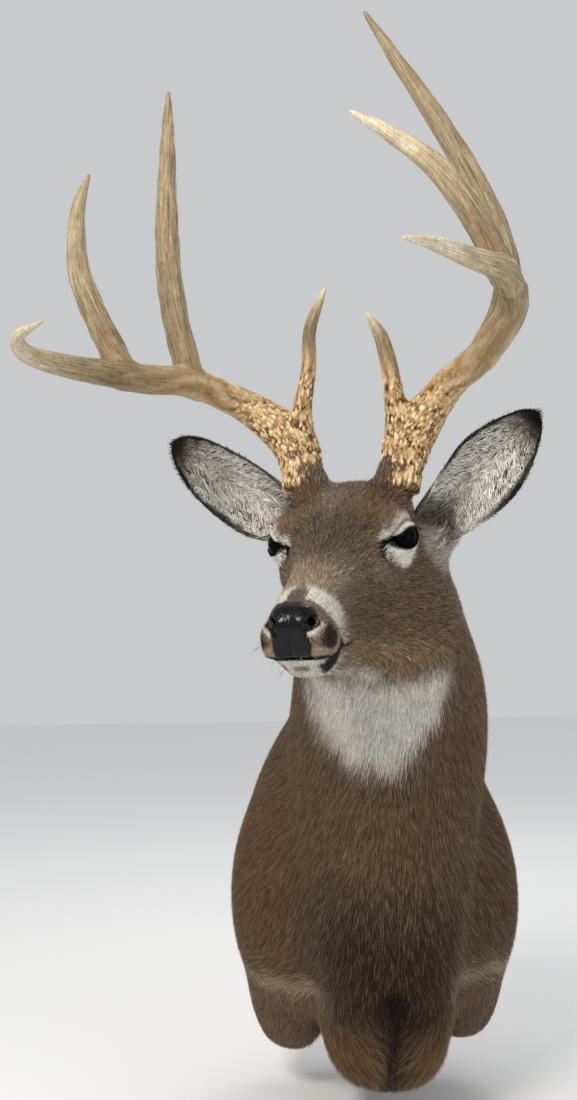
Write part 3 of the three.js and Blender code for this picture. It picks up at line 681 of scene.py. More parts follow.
# ---------- colours of the coat, the same for hide and hair ----------
def paint(red, green, blue):
    """A colour named in screen values, as the linear one that shaders use."""
    c = np.array([red, green, blue]) / 255
    return np.where(c <= 0.04045, c / 12.92, ((c + 0.055) / 1.055) ** 2.4)


NECK_BROWN = paint(118, 92, 66)
CHEST_BROWN = paint(74, 51, 35)
SHOULDER_BROWN = paint(122, 90, 60)
# painted shade for the deer's left side, away from the key light
SHADED_SIDE_BROWN = paint(102, 76, 52)
BACK_BROWN = paint(96, 76, 58)
BREAST_DARK = paint(50, 36, 26)
BRISKET_ORANGE = paint(140, 98, 62)
# darker parted hair, and painted shade in the groove between the brisket's lobes
PARTED_HAIR_AND_SHADE = paint(22, 14, 10)
STUB_TAN = paint(136, 108, 84)
CREASE_PALE = paint(196, 174, 146)
WHITE_HAIR = paint(246, 241, 230)
THROAT_PATCH = (-22, 240, 68, 108)  # middle, level it narrows below, half width, depth below that
HEAD_BROWN = paint(128, 108, 90)
FOREHEAD_DARK = paint(84, 66, 54)
FOREHEAD_ORANGE = paint(132, 98, 68)
BRIDGE_TAN = paint(174, 152, 128)
CHEEK_BROWN = paint(104, 78, 52)
JAW_TAN = paint(142, 116, 86)
EYE_RING = paint(248, 242, 228)
LID_CREAM = paint(250, 242, 222)
NOSE_BROWN = paint(112, 94, 86)
MUZZLE_CREAM = paint(250, 244, 224)
LIP_TAN = paint(166, 146, 126)
PATCH_BROWN = paint(34, 20, 17)
WING_CREAM = paint(214, 200, 184)
CHIN_GREY = paint(228, 222, 208)
BLACK_HAIR = paint(16, 12, 11)
LID_SKIN = paint(10, 8, 8)
EAR_WHITE = paint(246, 240, 228)
EAR_GREY = paint(160, 152, 140)
EAR_DARK = paint(40, 30, 26)
EAR_BACK = paint(104, 86, 70)
PALE_TIP = paint(220, 196, 158)  # the pale band near the tips of many hairs


def body_markings(p, colour):
    x, y, z = p.T
    aside = np.abs(x)
    wander = ripple(p, 34, 11)
    colour = lay(colour, CHEST_BROWN, smooth(z, 60, -60) * smooth(y, -200, -300))
    colour = lay(colour, SHOULDER_BROWN, smooth(aside + 8 * wander, 80, 128) * smooth(z, 190, 110))
    # painted shade: the deer's left side of the neck, shoulder and chest, away from the key light, is laid
    # darker
    shaded_side = smooth(x, 20, 110) * smooth(z, 240, 120)
    colour = lay(colour, SHADED_SIDE_BROWN, 0.8 * shaded_side)
    colour = lay(colour, BACK_BROWN, smooth(y, -190, -110) * smooth(z, 150, 230))
    breast = smooth(aside + 14 * wander, 104, 20) * smooth(y, -150, -280) * smooth(z, 70, -90)
    colour = lay(colour, BREAST_DARK, 0.42 * breast)
    # white patch under the throat, rounded below
    middle, narrows_below, half, drop = THROAT_PATCH
    level = np.minimum(z + 10 * wander - narrows_below, 0)
    reach = np.hypot((x - middle - 6 * wander) / half, level / drop)
    throat = smooth(reach, 1.14, 0.80) * smooth(y, -240, -290) * smooth(z, 345, 315)
    colour = lay(colour, WHITE_HAIR, throat)
    stub = smooth(z + 6 * wander, -122, -138) * smooth(aside, 62, 78)
    colour = lay(colour, STUB_TAN, stub)
    crease = np.exp(-((z + 112 + 6 * wander - 10 * (x > 0)) / 9) ** 2) * smooth(aside, 60, 76)
    colour = lay(colour, CREASE_PALE, 0.8 * crease * smooth(y, -110, -165))
    brisket = smooth(z, -120, -170) * smooth(aside, 86, 66)
    colour = lay(colour, BRISKET_ORANGE, 0.85 * brisket * smooth(aside + 6 * wander, 8, 34))
    # down the middle of the brisket: the parted hair's darker colour, with painted shade in the groove
    # between the two lobes
    parting_and_shade = smooth(np.abs(x + 1 + 5 * wander), 15, 3) * smooth(z, -96, -118) * smooth(y, -170, -215)
    return lay(colour, PARTED_HAIR_AND_SHADE, 0.92 * parting_and_shade)


def lay(colour, over, share):
    """One colour laid over another, by a share for each place."""
    return colour + (over - colour) * np.clip(share, 0, 1)[:, None]


CREAM_BAND = [(173, 8), (173, 0), (165, -11), (155, -22), (141, -39)]
RING_MIDDLE = 2.0  # the white ring's angles turn about this place, towards the front
# how far the white ring reaches from the eye's opening: angle from the front corner, and reach
RING_REACH = [(-180, 16), (-150, 26), (-123, 26), (-90, 20), (-60, 18), (-38, 18), (-12, 19), (10, 18),
              (31, 16), (60, 15), (102, 16), (139, 15), (165, 14), (180, 16)]


def round_eye_markings(u, v, side, wander, colour):
    a, b, out, away = eye_coordinates(u, v, side)
    rim = lid_opening(a, b)
    looks = smooth(away, 46, 38)
    angle = np.degrees(np.arctan2(b, a - RING_MIDDLE))
    ring = smooth(rim + 1.2 * wander - read_rows(angle, RING_REACH), 2.5, -3.0)
    pale = mix(0.98, 0.62, smooth(b, 6, 14) * smooth(rim, 7, 10) * smooth(a, 14, 5))
    colour = lay(colour, EYE_RING, looks * ring * pale)
    lid = smooth(rim, 7.2, 5.8) * smooth(b, 2, 7) * smooth(a, 13, 7)
    colour = lay(colour, LID_CREAM, looks * lid)
    crease_shade = np.exp(-((rim - 7.4) / 1.5) ** 2) * smooth(b, 2, 8)
    colour = lay(colour, FOREHEAD_DARK, 0.85 * looks * crease_shade)
    brow = np.exp(-(((u - 37) / 13) ** 2 + ((v - 22) / 6) ** 2)) * smooth(side, 20, 34)
    colour = lay(colour, FOREHEAD_DARK, 0.95 * brow)
    duct = line_distance(u, v, TEAR_DUCT) + 100 * (side < 25)
    colour = lay(colour, BLACK_HAIR, smooth(duct, 5.0, 2.6))
    rear = np.exp(-(((a + 18) / 7) ** 2 + ((b - 1) / 4) ** 2))
    front = np.exp(-(((a - 20) / 6) ** 2 + ((b - 3) / 4) ** 2))
    return lay(colour, LID_SKIN, smooth(rim - 8.0 * rear - 5.0 * front, 2.8, 1.5) * looks * (out > -8))


def muzzle_markings(u, v, w, wander, colour):
    side = np.abs(w)
    band = line_distance(u, v, CREAM_BAND) + 1.4 * wander
    fade = smooth(u, 132, 150) * smooth(side, 3, 7)
    colour = lay(colour, MUZZLE_CREAM, fade * smooth(band, 14.5, 9.5))
    lip = smooth(v + wander, -26, -36) * smooth(u, 118, 140)
    colour = lay(colour, LIP_TAN, 0.8 * lip)
    saddle = smooth(side, 9.5, 6.5) * smooth(u, 164, 171) * smooth(v, -8, -2)
    colour = lay(colour, NOSE_BROWN, saddle)
    chin = smooth(v, -42, -46) * smooth(u + 2 * wander, 132, 152)
    colour = lay(colour, CHIN_GREY, chin)
    patch = smooth(np.hypot((u - 195) / 13, (v + 26) / 10.5), 1.15, 0.8) * smooth(side, 19, 23)
    colour = lay(colour, PATCH_BROWN, patch)
    spot = smooth(np.hypot((u - 168) / 26, (v + 56) / 16), 1.12, 0.85) * smooth(side, 12, 16)
    colour = lay(colour, BLACK_HAIR, spot)
    mark = smooth(np.hypot((u - 195) / 6, (v + 57) / 5), 1.3, 0.7) * smooth(side, 9, 4)
    colour = lay(colour, PATCH_BROWN, 0.8 * mark)
    wing = np.abs(wing_ridge(u, v, side)) + 60 * (u < 184)
    colour = lay(colour, WING_CREAM, smooth(wing, 4.2, 2.6) * smooth(v, -9, -13))
    hole = nostril_distance(u, v, w)
    colour = lay(colour, LID_SKIN, smooth(hole, 2.0, 0.9) * (u > 184))
    colour = lay(colour, LID_SKIN, nose_pad_share(u, v, w))
    line = line_distance(u, v, MOUTH_LINE)
    return lay(colour, LID_SKIN, smooth(line, 3.4, 1.6) * smooth(u, 108, 122))


def head_markings(p, colour):
    u, v, w = head_coordinates(p)
    side = np.abs(w)
    wander = ripple(p, 16, 5)
    on_head = smooth(u, -118, -92) * smooth(v, -150, -112)
    colour = lay(colour, HEAD_BROWN, on_head)
    colour = lay(colour, CHEEK_BROWN, on_head * smooth(v, -8, -34) * smooth(u, 170, 110))
    above_jaw = v + 129 - 0.34 * u  # height over the jaw's lower edge
    jaw = smooth(above_jaw + 4 * wander, 42, 20) * smooth(u, -40, 20)
    colour = lay(colour, JAW_TAN, on_head * jaw)
    throat = smooth(above_jaw + 3 * wander, 7, 0) * smooth(side, 34, 20) * smooth(u, -75, -50)
    colour = lay(colour, WHITE_HAIR, on_head * throat)
    bridge = smooth(v, -16, 0) * smooth(u, 70, 120) * smooth(u, 176, 160)
    colour = lay(colour, BRIDGE_TAN, 0.8 * bridge)
    top = smooth(v, 2, 20)
    orange = top * smooth(u, 66, 34) * smooth(u, -70, -30) * smooth(side + 3 * wander, 8, 26)
    colour = lay(colour, FOREHEAD_ORANGE, 0.65 * orange)
    dark = top * smooth(side + 6 * wander, 34, 12) * smooth(u, 132, 100) * smooth(u, 8, 44)
    colour = lay(colour, FOREHEAD_DARK, 0.8 * dark)
    crown = smooth(v, 34, 46) * smooth(side, 40, 22) * smooth(u, -30, -50)
    colour = lay(colour, FOREHEAD_DARK, 0.45 * crown)
    hollow = smooth(np.hypot(u + 72, v + 26), 36, 16) * smooth(side, 34, 46)
    colour = lay(colour, WHITE_HAIR, 0.5 * hollow)
    colour = round_eye_markings(u, v, side, wander, colour)
    front = u > 104
    colour[front] = muzzle_markings(u[front], v[front], w[front], wander[front], colour[front])
    return colour


def ear_markings(p, colour):
    for ear in EARS.values():
        s, t, depth, gap = ear_coordinates(ear, p)
        on_ear = smooth(gap, 9, 4) * smooth(s, 0.0, 0.10)
        wander = ripple(p, 14, 3)
        back = lay(np.broadcast_to(EAR_BACK, p.shape), EAR_DARK, smooth(s + 0.06 * wander, 0.45, 0.8))
        back = lay(back, EAR_DARK, 0.7 * smooth(np.abs(t), 0.6, 0.95))
        locks = ripple(p, 9, 4)
        inner = lay(np.broadcast_to(EAR_WHITE, p.shape), EAR_GREY, 0.5 * smooth(locks, 0.1, 0.8))
        # painted shade between the white locks, strongest low in the ear's cup
        inner = lay(inner, EAR_DARK, 0.6 * smooth(locks, -0.2, -0.9) * smooth(s, 0.75, 0.2))
        inner = lay(inner, EAR_GREY, smooth(s, 0.66, 0.86))
        inner = lay(inner, EAR_DARK, 0.8 * smooth(s, 0.24, 0.1) + 0.75 * smooth(s + 0.05 * wander, 0.8, 0.92))
        front = depth > 0
        face = np.where(front[:, None], inner, back)
        edge = smooth(np.abs(t) + 0.05 * wander, 0.8, 0.94) * smooth(s, 0.15, 0.45)
        face = lay(face, BLACK_HAIR, 0.95 * np.maximum(edge, smooth(s, 0.88, 0.95)))
        colour = lay(colour, face, on_ear)
    return colour


def markings(p):
    colour = np.broadcast_to(NECK_BROWN, p.shape)
    colour = body_markings(p, colour)
    colour = head_markings(p, colour)
    return ear_markings(p, colour)


# ---------- materials ----------
def grey(value):
    return (value, value, value)


class Recipe:
    """A new material, with short ways to add and link the nodes that this scene uses."""

    def __init__(self, name):
        self.material = bpy.data.materials.new(name)
        self.material.use_nodes = True
        self.nodes = self.material.node_tree.nodes
        self.links = self.material.node_tree.links
        self.shader = self.nodes["Principled BSDF"]

    def node(self, kind, **settings):
        made = self.nodes.new(f"ShaderNode{kind}")
        for key, value in settings.items():
            if key in made.inputs:
                made.inputs[key].default_value = value
            else:
                setattr(made, key, value)
        return made

    def feed(self, socket, value):
        """Links a socket into another, or sets a plain value on it."""
        if isinstance(value, bpy.types.NodeSocket):
            self.links.new(value, socket)
        else:
            socket.default_value = value

    def attribute(self, name, output="Fac"):
        return self.node("Attribute", attribute_name=name).outputs[output]

    def place(self, scale=(1, 1, 1), source=None):
        """Places scaled along each axis: the object's own, in metres, unless a source is given."""
        made = self.node("Mapping", Scale=scale)
        self.links.new(source or self.node("TexCoord").outputs["Object"], made.inputs["Vector"])
        return made.outputs["Vector"]

    def texture(self, kind, output, place=None, **settings):
        """A texture. With no place it runs from 0 to 1 over the object's box, whatever its size."""
        made = self.node(kind, **settings)
        if place is not None:
            self.links.new(place, made.inputs["Vector"])
        return made.outputs[output]

    def noise(self, scale, detail, place=None, roughness=0.55):
        return self.texture("TexNoise", "Fac", place, Scale=scale, Detail=detail, Roughness=roughness)

    def ramp(self, source, *stops):
        """A colour read off a ramp. Each stop is a place and a linear colour."""
        made = self.node("ValToRGB")
        elements = made.color_ramp.elements
        while len(elements) < len(stops):
            elements.new(0.5)
        for element, (place, colour) in zip(elements, stops):
            element.position = place
            element.color = (*colour, 1)
        self.links.new(source, made.inputs["Fac"])
        return made.outputs["Color"]

    def mix(self, kind, share, first, second):
        """A mix of two colours. The share and the colours may each be a socket."""
        made = self.node("Mix", data_type="RGBA", blend_type=kind)
        self.feed(made.inputs[0], share)
        for socket, colour in ((6, first), (7, second)):
            plain = not isinstance(colour, bpy.types.NodeSocket)
            self.feed(made.inputs[socket], (*colour, 1) if plain else colour)
        return made.outputs[2]

    def bump(self, height, strength, distance):
        made = self.node("Bump", Strength=strength, Distance=distance)
        self.links.new(height, made.inputs["Height"])
        self.links.new(made.outputs["Normal"], self.shader.inputs["Normal"])

    def finish(self, colour, roughness, specular=None, metallic=None):
        """Gives the shader its colour and numbers, and hands over the material."""
        self.feed(self.shader.inputs["Base Color"], colour)
        self.feed(self.shader.inputs["Roughness"], roughness)
        if specular is not None:
            self.feed(self.shader.inputs["Specular IOR Level"], specular)
        if metallic is not None:
            self.feed(self.shader.inputs["Metallic"], metallic)
        return self.material


def hide_material():
    """Short underfur: the markings, broken up by streaks that are longer down the body."""
    made = Recipe("hide")
    streaks = made.noise(900, 5, made.place((1, 1, 0.35)), 0.7)
    tone = made.ramp(streaks, (0.3, grey(0.35)), (0.52, grey(0.8)), (0.75, grey(1.5)))
    colour = made.mix("MULTIPLY", 1.0, made.attribute("Coat", "Color"), tone)
    made.bump(streaks, 0.8, 0.0012)
    return made.finish(colour, 0.85, 0.2)


def hair_material():
    """Hair in tufts: the root's marking, with fine strands of lighter and darker hair in each tuft."""
    made = Recipe("hair")
    strands = made.noise(1500, 3, made.place(), 0.7)
    tone = made.ramp(strands, (0.3, grey(0.62)), (0.5, grey(1.0)), (0.72, grey(1.35)))
    colour = made.mix("MULTIPLY", 1.0, made.attribute("Coat", "Color"), tone)
    made.bump(strands, 0.35, 0.0004)
    return made.finish(colour, 0.62, 0.22)


def nose_material():
    """Wet black skin in small raised cells."""
    made = Recipe("nose_skin")
    place = made.place()
    cells = made.texture("TexVoronoi", "Distance", place, Scale=360.0)
    soft = made.noise(90.0, 3.0, place, 0.5)
    shade = made.ramp(soft, (0.35, paint(5, 5, 7)), (0.8, paint(15, 15, 18)))
    rough = made.ramp(cells, (0.0, grey(0.13)), (0.9, grey(0.28)))
    made.bump(cells, 0.55, 0.0005)
    return made.finish(shade, rough, 0.22)


def eye_material():
    """Glass that is near black all over, and a little browner in the iris."""
    made = Recipe("eye_glass")
    brown = made.mix("MIX", made.noise(500, 4), paint(2, 1, 1), paint(6, 4, 3))
    colour = made.mix("MIX", made.attribute("Iris"), paint(3, 3, 3), brown)
    return made.finish(colour, 0.05, 0.03)


def antler_material():
    """Brown and pearled at the base, streaked olive tan along the beams, ivory at the tips."""
    made = Recipe("antler_bone")
    worn = made.attribute("Worn")  # 0 at the burr, 1 at the tips
    streaks = made.noise(2.2, 6, made.place((1.6, 26, 26), made.attribute("Grain", "Vector")), 0.62)
    shades = made.ramp(worn, (0.0, paint(140, 116, 84)), (0.3, paint(142, 120, 86)),
                       (0.5, paint(150, 130, 98)), (0.8, paint(196, 178, 144)),
                       (1.0, paint(246, 236, 212)))
    dark = made.ramp(streaks, (0.36, grey(0.2)), (0.5, grey(0.78)), (0.64, grey(1.28)))
    colour = made.mix("MULTIPLY", 0.9, shades, dark)
    pits = made.ramp(made.attribute("Raised"), (0.16, paint(74, 46, 24)), (0.3, paint(176, 140, 92)),
                     (0.6, paint(238, 222, 184)))
    knobbly = made.ramp(worn, (0.18, grey(1)), (0.52, grey(0)))
    colour = made.mix("MIX", knobbly, colour, pits)
    stained = made.ramp(made.noise(60, 3), (0.35, (0.75, 0.6, 0.42)), (0.6, grey(1.0)))
    colour = made.mix("MULTIPLY", 0.6, colour, stained)
    made.bump(streaks, 0.4, 0.0008)
    return made.finish(colour, 0.48, 0.4)


def plywood_material():
    """Pale face veneer with long grain, and dark and light plies on the edge."""
    made = Recipe("plywood")
    grain = made.noise(60, 5, made.place((1, 1, 0.08)), 0.6)
    shade = made.ramp(grain, (0.3, paint(176, 134, 86)), (0.55, paint(206, 168, 116)),
                      (0.8, paint(222, 190, 142)))
    plies = made.texture("TexWave", "Fac", wave_type="BANDS", bands_direction="Y", Scale=105.0,
                         Distortion=0.4)
    edge = made.ramp(plies, (0.3, paint(128, 88, 50)), (0.6, paint(214, 178, 126)))
    split = made.node("SeparateXYZ")
    made.links.new(made.node("NewGeometry").outputs["Normal"], split.inputs["Vector"])
    flat = made.node("Math", operation="ABSOLUTE")
    made.links.new(split.outputs["Y"], flat.inputs[0])
    colour = made.mix("MIX", flat.outputs[0], edge, shade)
    made.bump(grain, 0.25, 0.0006)
    return made.finish(colour, 0.72)


def steel_material():
    """Zinc plate: a faint spangle under fine scratches."""
    made = Recipe("zinc_plate")
    shade = made.ramp(made.texture("TexVoronoi", "Distance", Scale=260.0), (0.1, grey(0.5)),
                      (0.9, grey(0.68)))
    rough = made.ramp(made.noise(300, 3, made.place((0.1, 1, 1))), (0.3, grey(0.3)), (0.7, grey(0.5)))
    return made.finish(shade, rough, metallic=0.95)


def floor_material():
    made = Recipe("studio_floor")
    return made.finish(made.ramp(made.noise(3, 2), (0.3, grey(0.9)), (0.7, grey(0.92))), 0.9)


# ---------- the hide ----------
FULL_GRID = (1.6, 3.2)  # the grid's fine and coarse steps
# along x, y and z: where the grid starts and ends, where it is fine, and how the fine step is scaled
GRID_REACH = [(-182, 176, -140, 50, 1.15), (-594, 4, -588, -372, 1), (-238, 442, 238, 424, 1)]
EARS_LOWEST = 300  # no ear root reaches below this level
RELAX_ROUNDS = 12


def build_hide(material):
    """One closed skin: body and head from the field, with both ears joined on."""
    fine, coarse = FULL_GRID
    axes = [uneven_axis(*reach, fine * scale, coarse) for *reach, scale in GRID_REACH]
    vertices, quads = surface_nets(sample_grid(hide_field, axes), axes)
    vertices = settle(hide_field, vertices, 2)
    hide = mesh_object("hide", vertices, quads, material)
    for name, ear in EARS.items():
        leaf = mesh_object(f"ear_leaf_{name}", *ear_leaf(ear), material)
        made_by_modifier(hide, "BOOLEAN", operation="UNION", solver="MANIFOLD", object=leaf)
        bpy.data.objects.remove(leaf)
    relax_ear_roots(hide.data)
    set_attribute(hide.data, "Coat", markings(mesh_arrays(hide.data)[0]))
    return hide


def relax_ear_roots(mesh):
    """Softens the corner where each ear runs into the head."""
    places, _ = mesh_arrays(mesh)
    near = np.zeros(len(places), bool)
    candidates = places[:, 2] > EARS_LOWEST
    depth = np.full(len(places), 99.0)
    depth[candidates] = hide_field(places[candidates])
    for ear in EARS.values():
        s, _, _, gap = ear_coordinates(ear, places)
        near |= (np.abs(depth) < 6) & (gap < 10) & (s < 0.4)
    edges = np.empty(len(mesh.edges) * 2, np.int32)
    mesh.edges.foreach_get("vertices", edges)
    edges = edges.reshape(-1, 2)
    edges = edges[near[edges].any(1)]
    for _ in range(RELAX_ROUNDS):
        total = np.zeros_like(places)
        count = np.zeros(len(places))
        for first, second in ((0, 1), (1, 0)):
            np.add.at(total, edges[:, first], places[edges[:, second]])
            np.add.at(count, edges[:, first], 1)
        average = total / np.maximum(count, 1)[:, None]
        places = np.where((near & (count > 0))[:, None], places + 0.5 * (average - places), places)
    mesh.vertices.foreach_set("co", (places * MM).astype(np.float32).ravel())
    mesh.update()


# ---------- eyes and nose ----------
EYE_RINGS = 40
EYE_SIDES = 56
WELD_REACH = 0.01


def build_eye(name, side, material):
    """Glass ball with a bulging front, a dark iris and a level oval pupil."""
    rings, sides = EYE_RINGS, EYE_SIDES
    ring, turn = np.meshgrid(np.arange(rings + 1), np.arange(sides), indexing="ij")
    tilt = math.pi * ring / rings
    angle = 2 * math.pi * turn / sides
    out = np.cos(tilt)
    front = np.sin(tilt) * np.cos(angle)
    up = np.sin(tilt) * np.sin(angle)
    bulge = 1 + 0.035 * np.exp(-((tilt / 0.75) ** 4))
    local = (out[..., None] * EYE_OUT + front[..., None] * EYE_FRONT + up[..., None] * EYE_UP)
    local = (local * bulge[..., None] * (EYE_RADIUS - 0.25)).reshape(-1, 3)
    u = local[:, 0] + EYE_PLACE[0]
    v = local[:, 1] + EYE_PLACE[1]
    w = side * (local[:, 2] + EYE_PLACE[2])
    vertices = EYE_MIDDLE + np.stack([u, v, w], 1) @ HEAD_AXES
    index = np.arange((rings + 1) * sides).reshape(rings + 1, sides)
    following = np.roll(index, -1, axis=1)
    quads = np.stack([index[:-1], index[1:], following[1:], following[:-1]], -1).reshape(-1, 4)
    if side > 0:
        quads = quads[:, ::-1]
    pupil = np.hypot(front / 0.42, up / 0.27).ravel()
    rim = np.hypot(front, up).ravel()
    iris = smooth(pupil, 0.95, 1.1) * smooth(rim, 0.86, 0.7) * (out.ravel() > 0)
    thing = mesh_object(name, vertices, quads, material, {"Iris": iris})
    weld(thing.data)
    return thing


def weld(mesh):
    """Joins the vertices that meet at the ball's poles."""
    work = bmesh.new()
    work.from_mesh(mesh)
    bmesh.ops.remove_doubles(work, verts=work.verts, dist=WELD_REACH * MM)
    bmesh.ops.recalc_face_normals(work, faces=work.faces)
    work.to_mesh(mesh)
    work.free()


NOSE_LOW = -41.0
NOSE_OUTLINE = [(-43, 12.0), (-38, 15.5), (-30, 16.5), (-22, 15.5), (-14, 16.5), (-8, 20.0), (-4, 19.5),
                (-1, 15.5), (1.5, 8.0)]
NOSE_GRID_MIDDLE = (200, -20, 0)  # forward, up, left
NOSE_GRID_HALF = 34
NOSE_STEP = 0.8


def nose_half(v):
    """Half the pad's width, level by level."""
    return read_rows(v, NOSE_OUTLINE)


def nose_field(p):
    u, v, w = head_coordinates(p)
    side = np.abs(w - NOSE_MIDDLE)
    d = head_field(u, v, w) + 0.3
    # rounded cushions over the nostrils, and a faint groove down the middle
    d = d - 1.8 * np.exp(-(((side - 9) / 8) ** 2 + ((v + 9) / 10) ** 2))
    d = groove(d, np.where(v < -24, side, 50), 0.6, 0.15, 2.4)
    outline = np.maximum(side - nose_half(v), np.maximum(v - 2.0, NOSE_LOW - v))
    d = carve(d, outline, 3.0)
    d = np.maximum(d, 180 - u + 0.5 * side)
    return nostrils(d, u, v, np.abs(w), 0.6)


def build_nose(material):
    step = NOSE_STEP
    ends = [(m - NOSE_GRID_HALF, m + NOSE_GRID_HALF) for m in head_point(*NOSE_GRID_MIDDLE)]
    axes = [uneven_axis(low, high, low, high, step, step) for low, high in ends]
    vertices, quads = surface_nets(sample_grid(nose_field, axes), axes)
    vertices = settle(nose_field, vertices, 1)
    return mesh_object("nose", vertices, quads, material)


# ---------- antlers ----------
def centripetal(points, count):
    """Evenly spaced places along the smooth curve through the points."""
    points = np.asarray(points, float)
    padded = np.concatenate([[2 * points[0] - points[1]], points, [2 * points[-1] - points[-2]]])
    path = []
    for p0, p1, p2, p3 in zip(padded[:-3], padded[1:-2], padded[2:-1], padded[3:]):
        d0, d1, d2 = (max(np.linalg.norm(b - a) ** 0.5, 1e-4) for a, b in ((p0, p1), (p1, p2), (p2, p3)))
        m1 = ((p1 - p0) / d0 - (p2 - p0) / (d0 + d1) + (p2 - p1) / d1) * d1
        m2 = ((p2 - p1) / d1 - (p3 - p1) / (d1 + d2) + (p3 - p2) / d2) * d1
        t = np.linspace(0, 1, 60, endpoint=False)[:, None]
        path.append((2 * t**3 - 3 * t**2 + 1) * p1 + (t**3 - 2 * t**2 + t) * m1
                    + (3 * t**2 - 2 * t**3) * p2 + (t**3 - t**2) * m2)
    path = np.concatenate([*path, points[-1:]])
    length = np.concatenate([[0], np.cumsum(np.linalg.norm(np.diff(path, axis=0), axis=1))])
    even = np.linspace(0, length[-1], count)
    return np.stack([np.interp(even, length, path[:, k]) for k in range(3)], 1), length[-1]


def rack_point(side, out, forward, up):
    level = unit([FORWARD[0], FORWARD[1], 0])
    level = unit(level - (level @ LEFT) * LEFT)
    upright = -np.cross(LEFT, level)
    return head_point(-68, 54, 0) + side * out * LEFT + forward * level + up * upright


def tube(path, radii, sides):
    """Closed tube along a path, and the three directions that its sections are drawn in."""
    tangent = unit(np.gradient(path, axis=0))
    across = np.zeros_like(path)
    across[0] = unit(np.cross(tangent[0], [0.3, 1.0, 0.2]))
    for i in range(1, len(path)):
        across[i] = unit(across[i - 1] - (across[i - 1] @ tangent[i]) * tangent[i])
    other = np.cross(tangent, across)
    angle = 2 * math.pi * np.arange(sides) / sides
    ring = (np.cos(angle)[None, :, None] * across[:, None] + np.sin(angle)[None, :, None] * other[:, None])
    vertices = (path[:, None] + ring * radii[:, None, None]).reshape(-1, 3)
    index = np.arange(len(path) * sides).reshape(len(path), sides)
    following = np.roll(index, -1, axis=1)
    quads = np.stack([index[:-1], following[:-1], following[1:], index[1:]], -1).reshape(-1, 4)
    caps = []
    for row, flip in ((index[0], True), (index[-1], False)):
        ordered = row[::-1] if flip else row
        for j in range(1, sides // 2):
            caps.append([ordered[0], ordered[2 * j - 1], ordered[2 * j], ordered[(2 * j + 1) % sides]])
    return vertices, np.concatenate([quads, caps]), across, other, tangent


TUBE_SIDES = 24
VOXEL = 1.35
FORK_WEB = 14  # how far the soft webs at the forks reach
PLACES_AT_ONCE = 8000


def nearest_sample(places, samples, radii):
    """How far each place is outside the nearest of some round samples, and which one that is."""
    gap = np.empty(len(places))
    which = np.empty(len(places), int)
    for chunk in np.array_split(np.arange(len(places)), max(1, len(places) // PLACES_AT_ONCE)):
        away = np.linalg.norm(places[chunk, None] - samples[None], axis=2) - radii
        gap[chunk] = away.min(1)
        which[chunk] = away.argmin(1)
    return gap, which


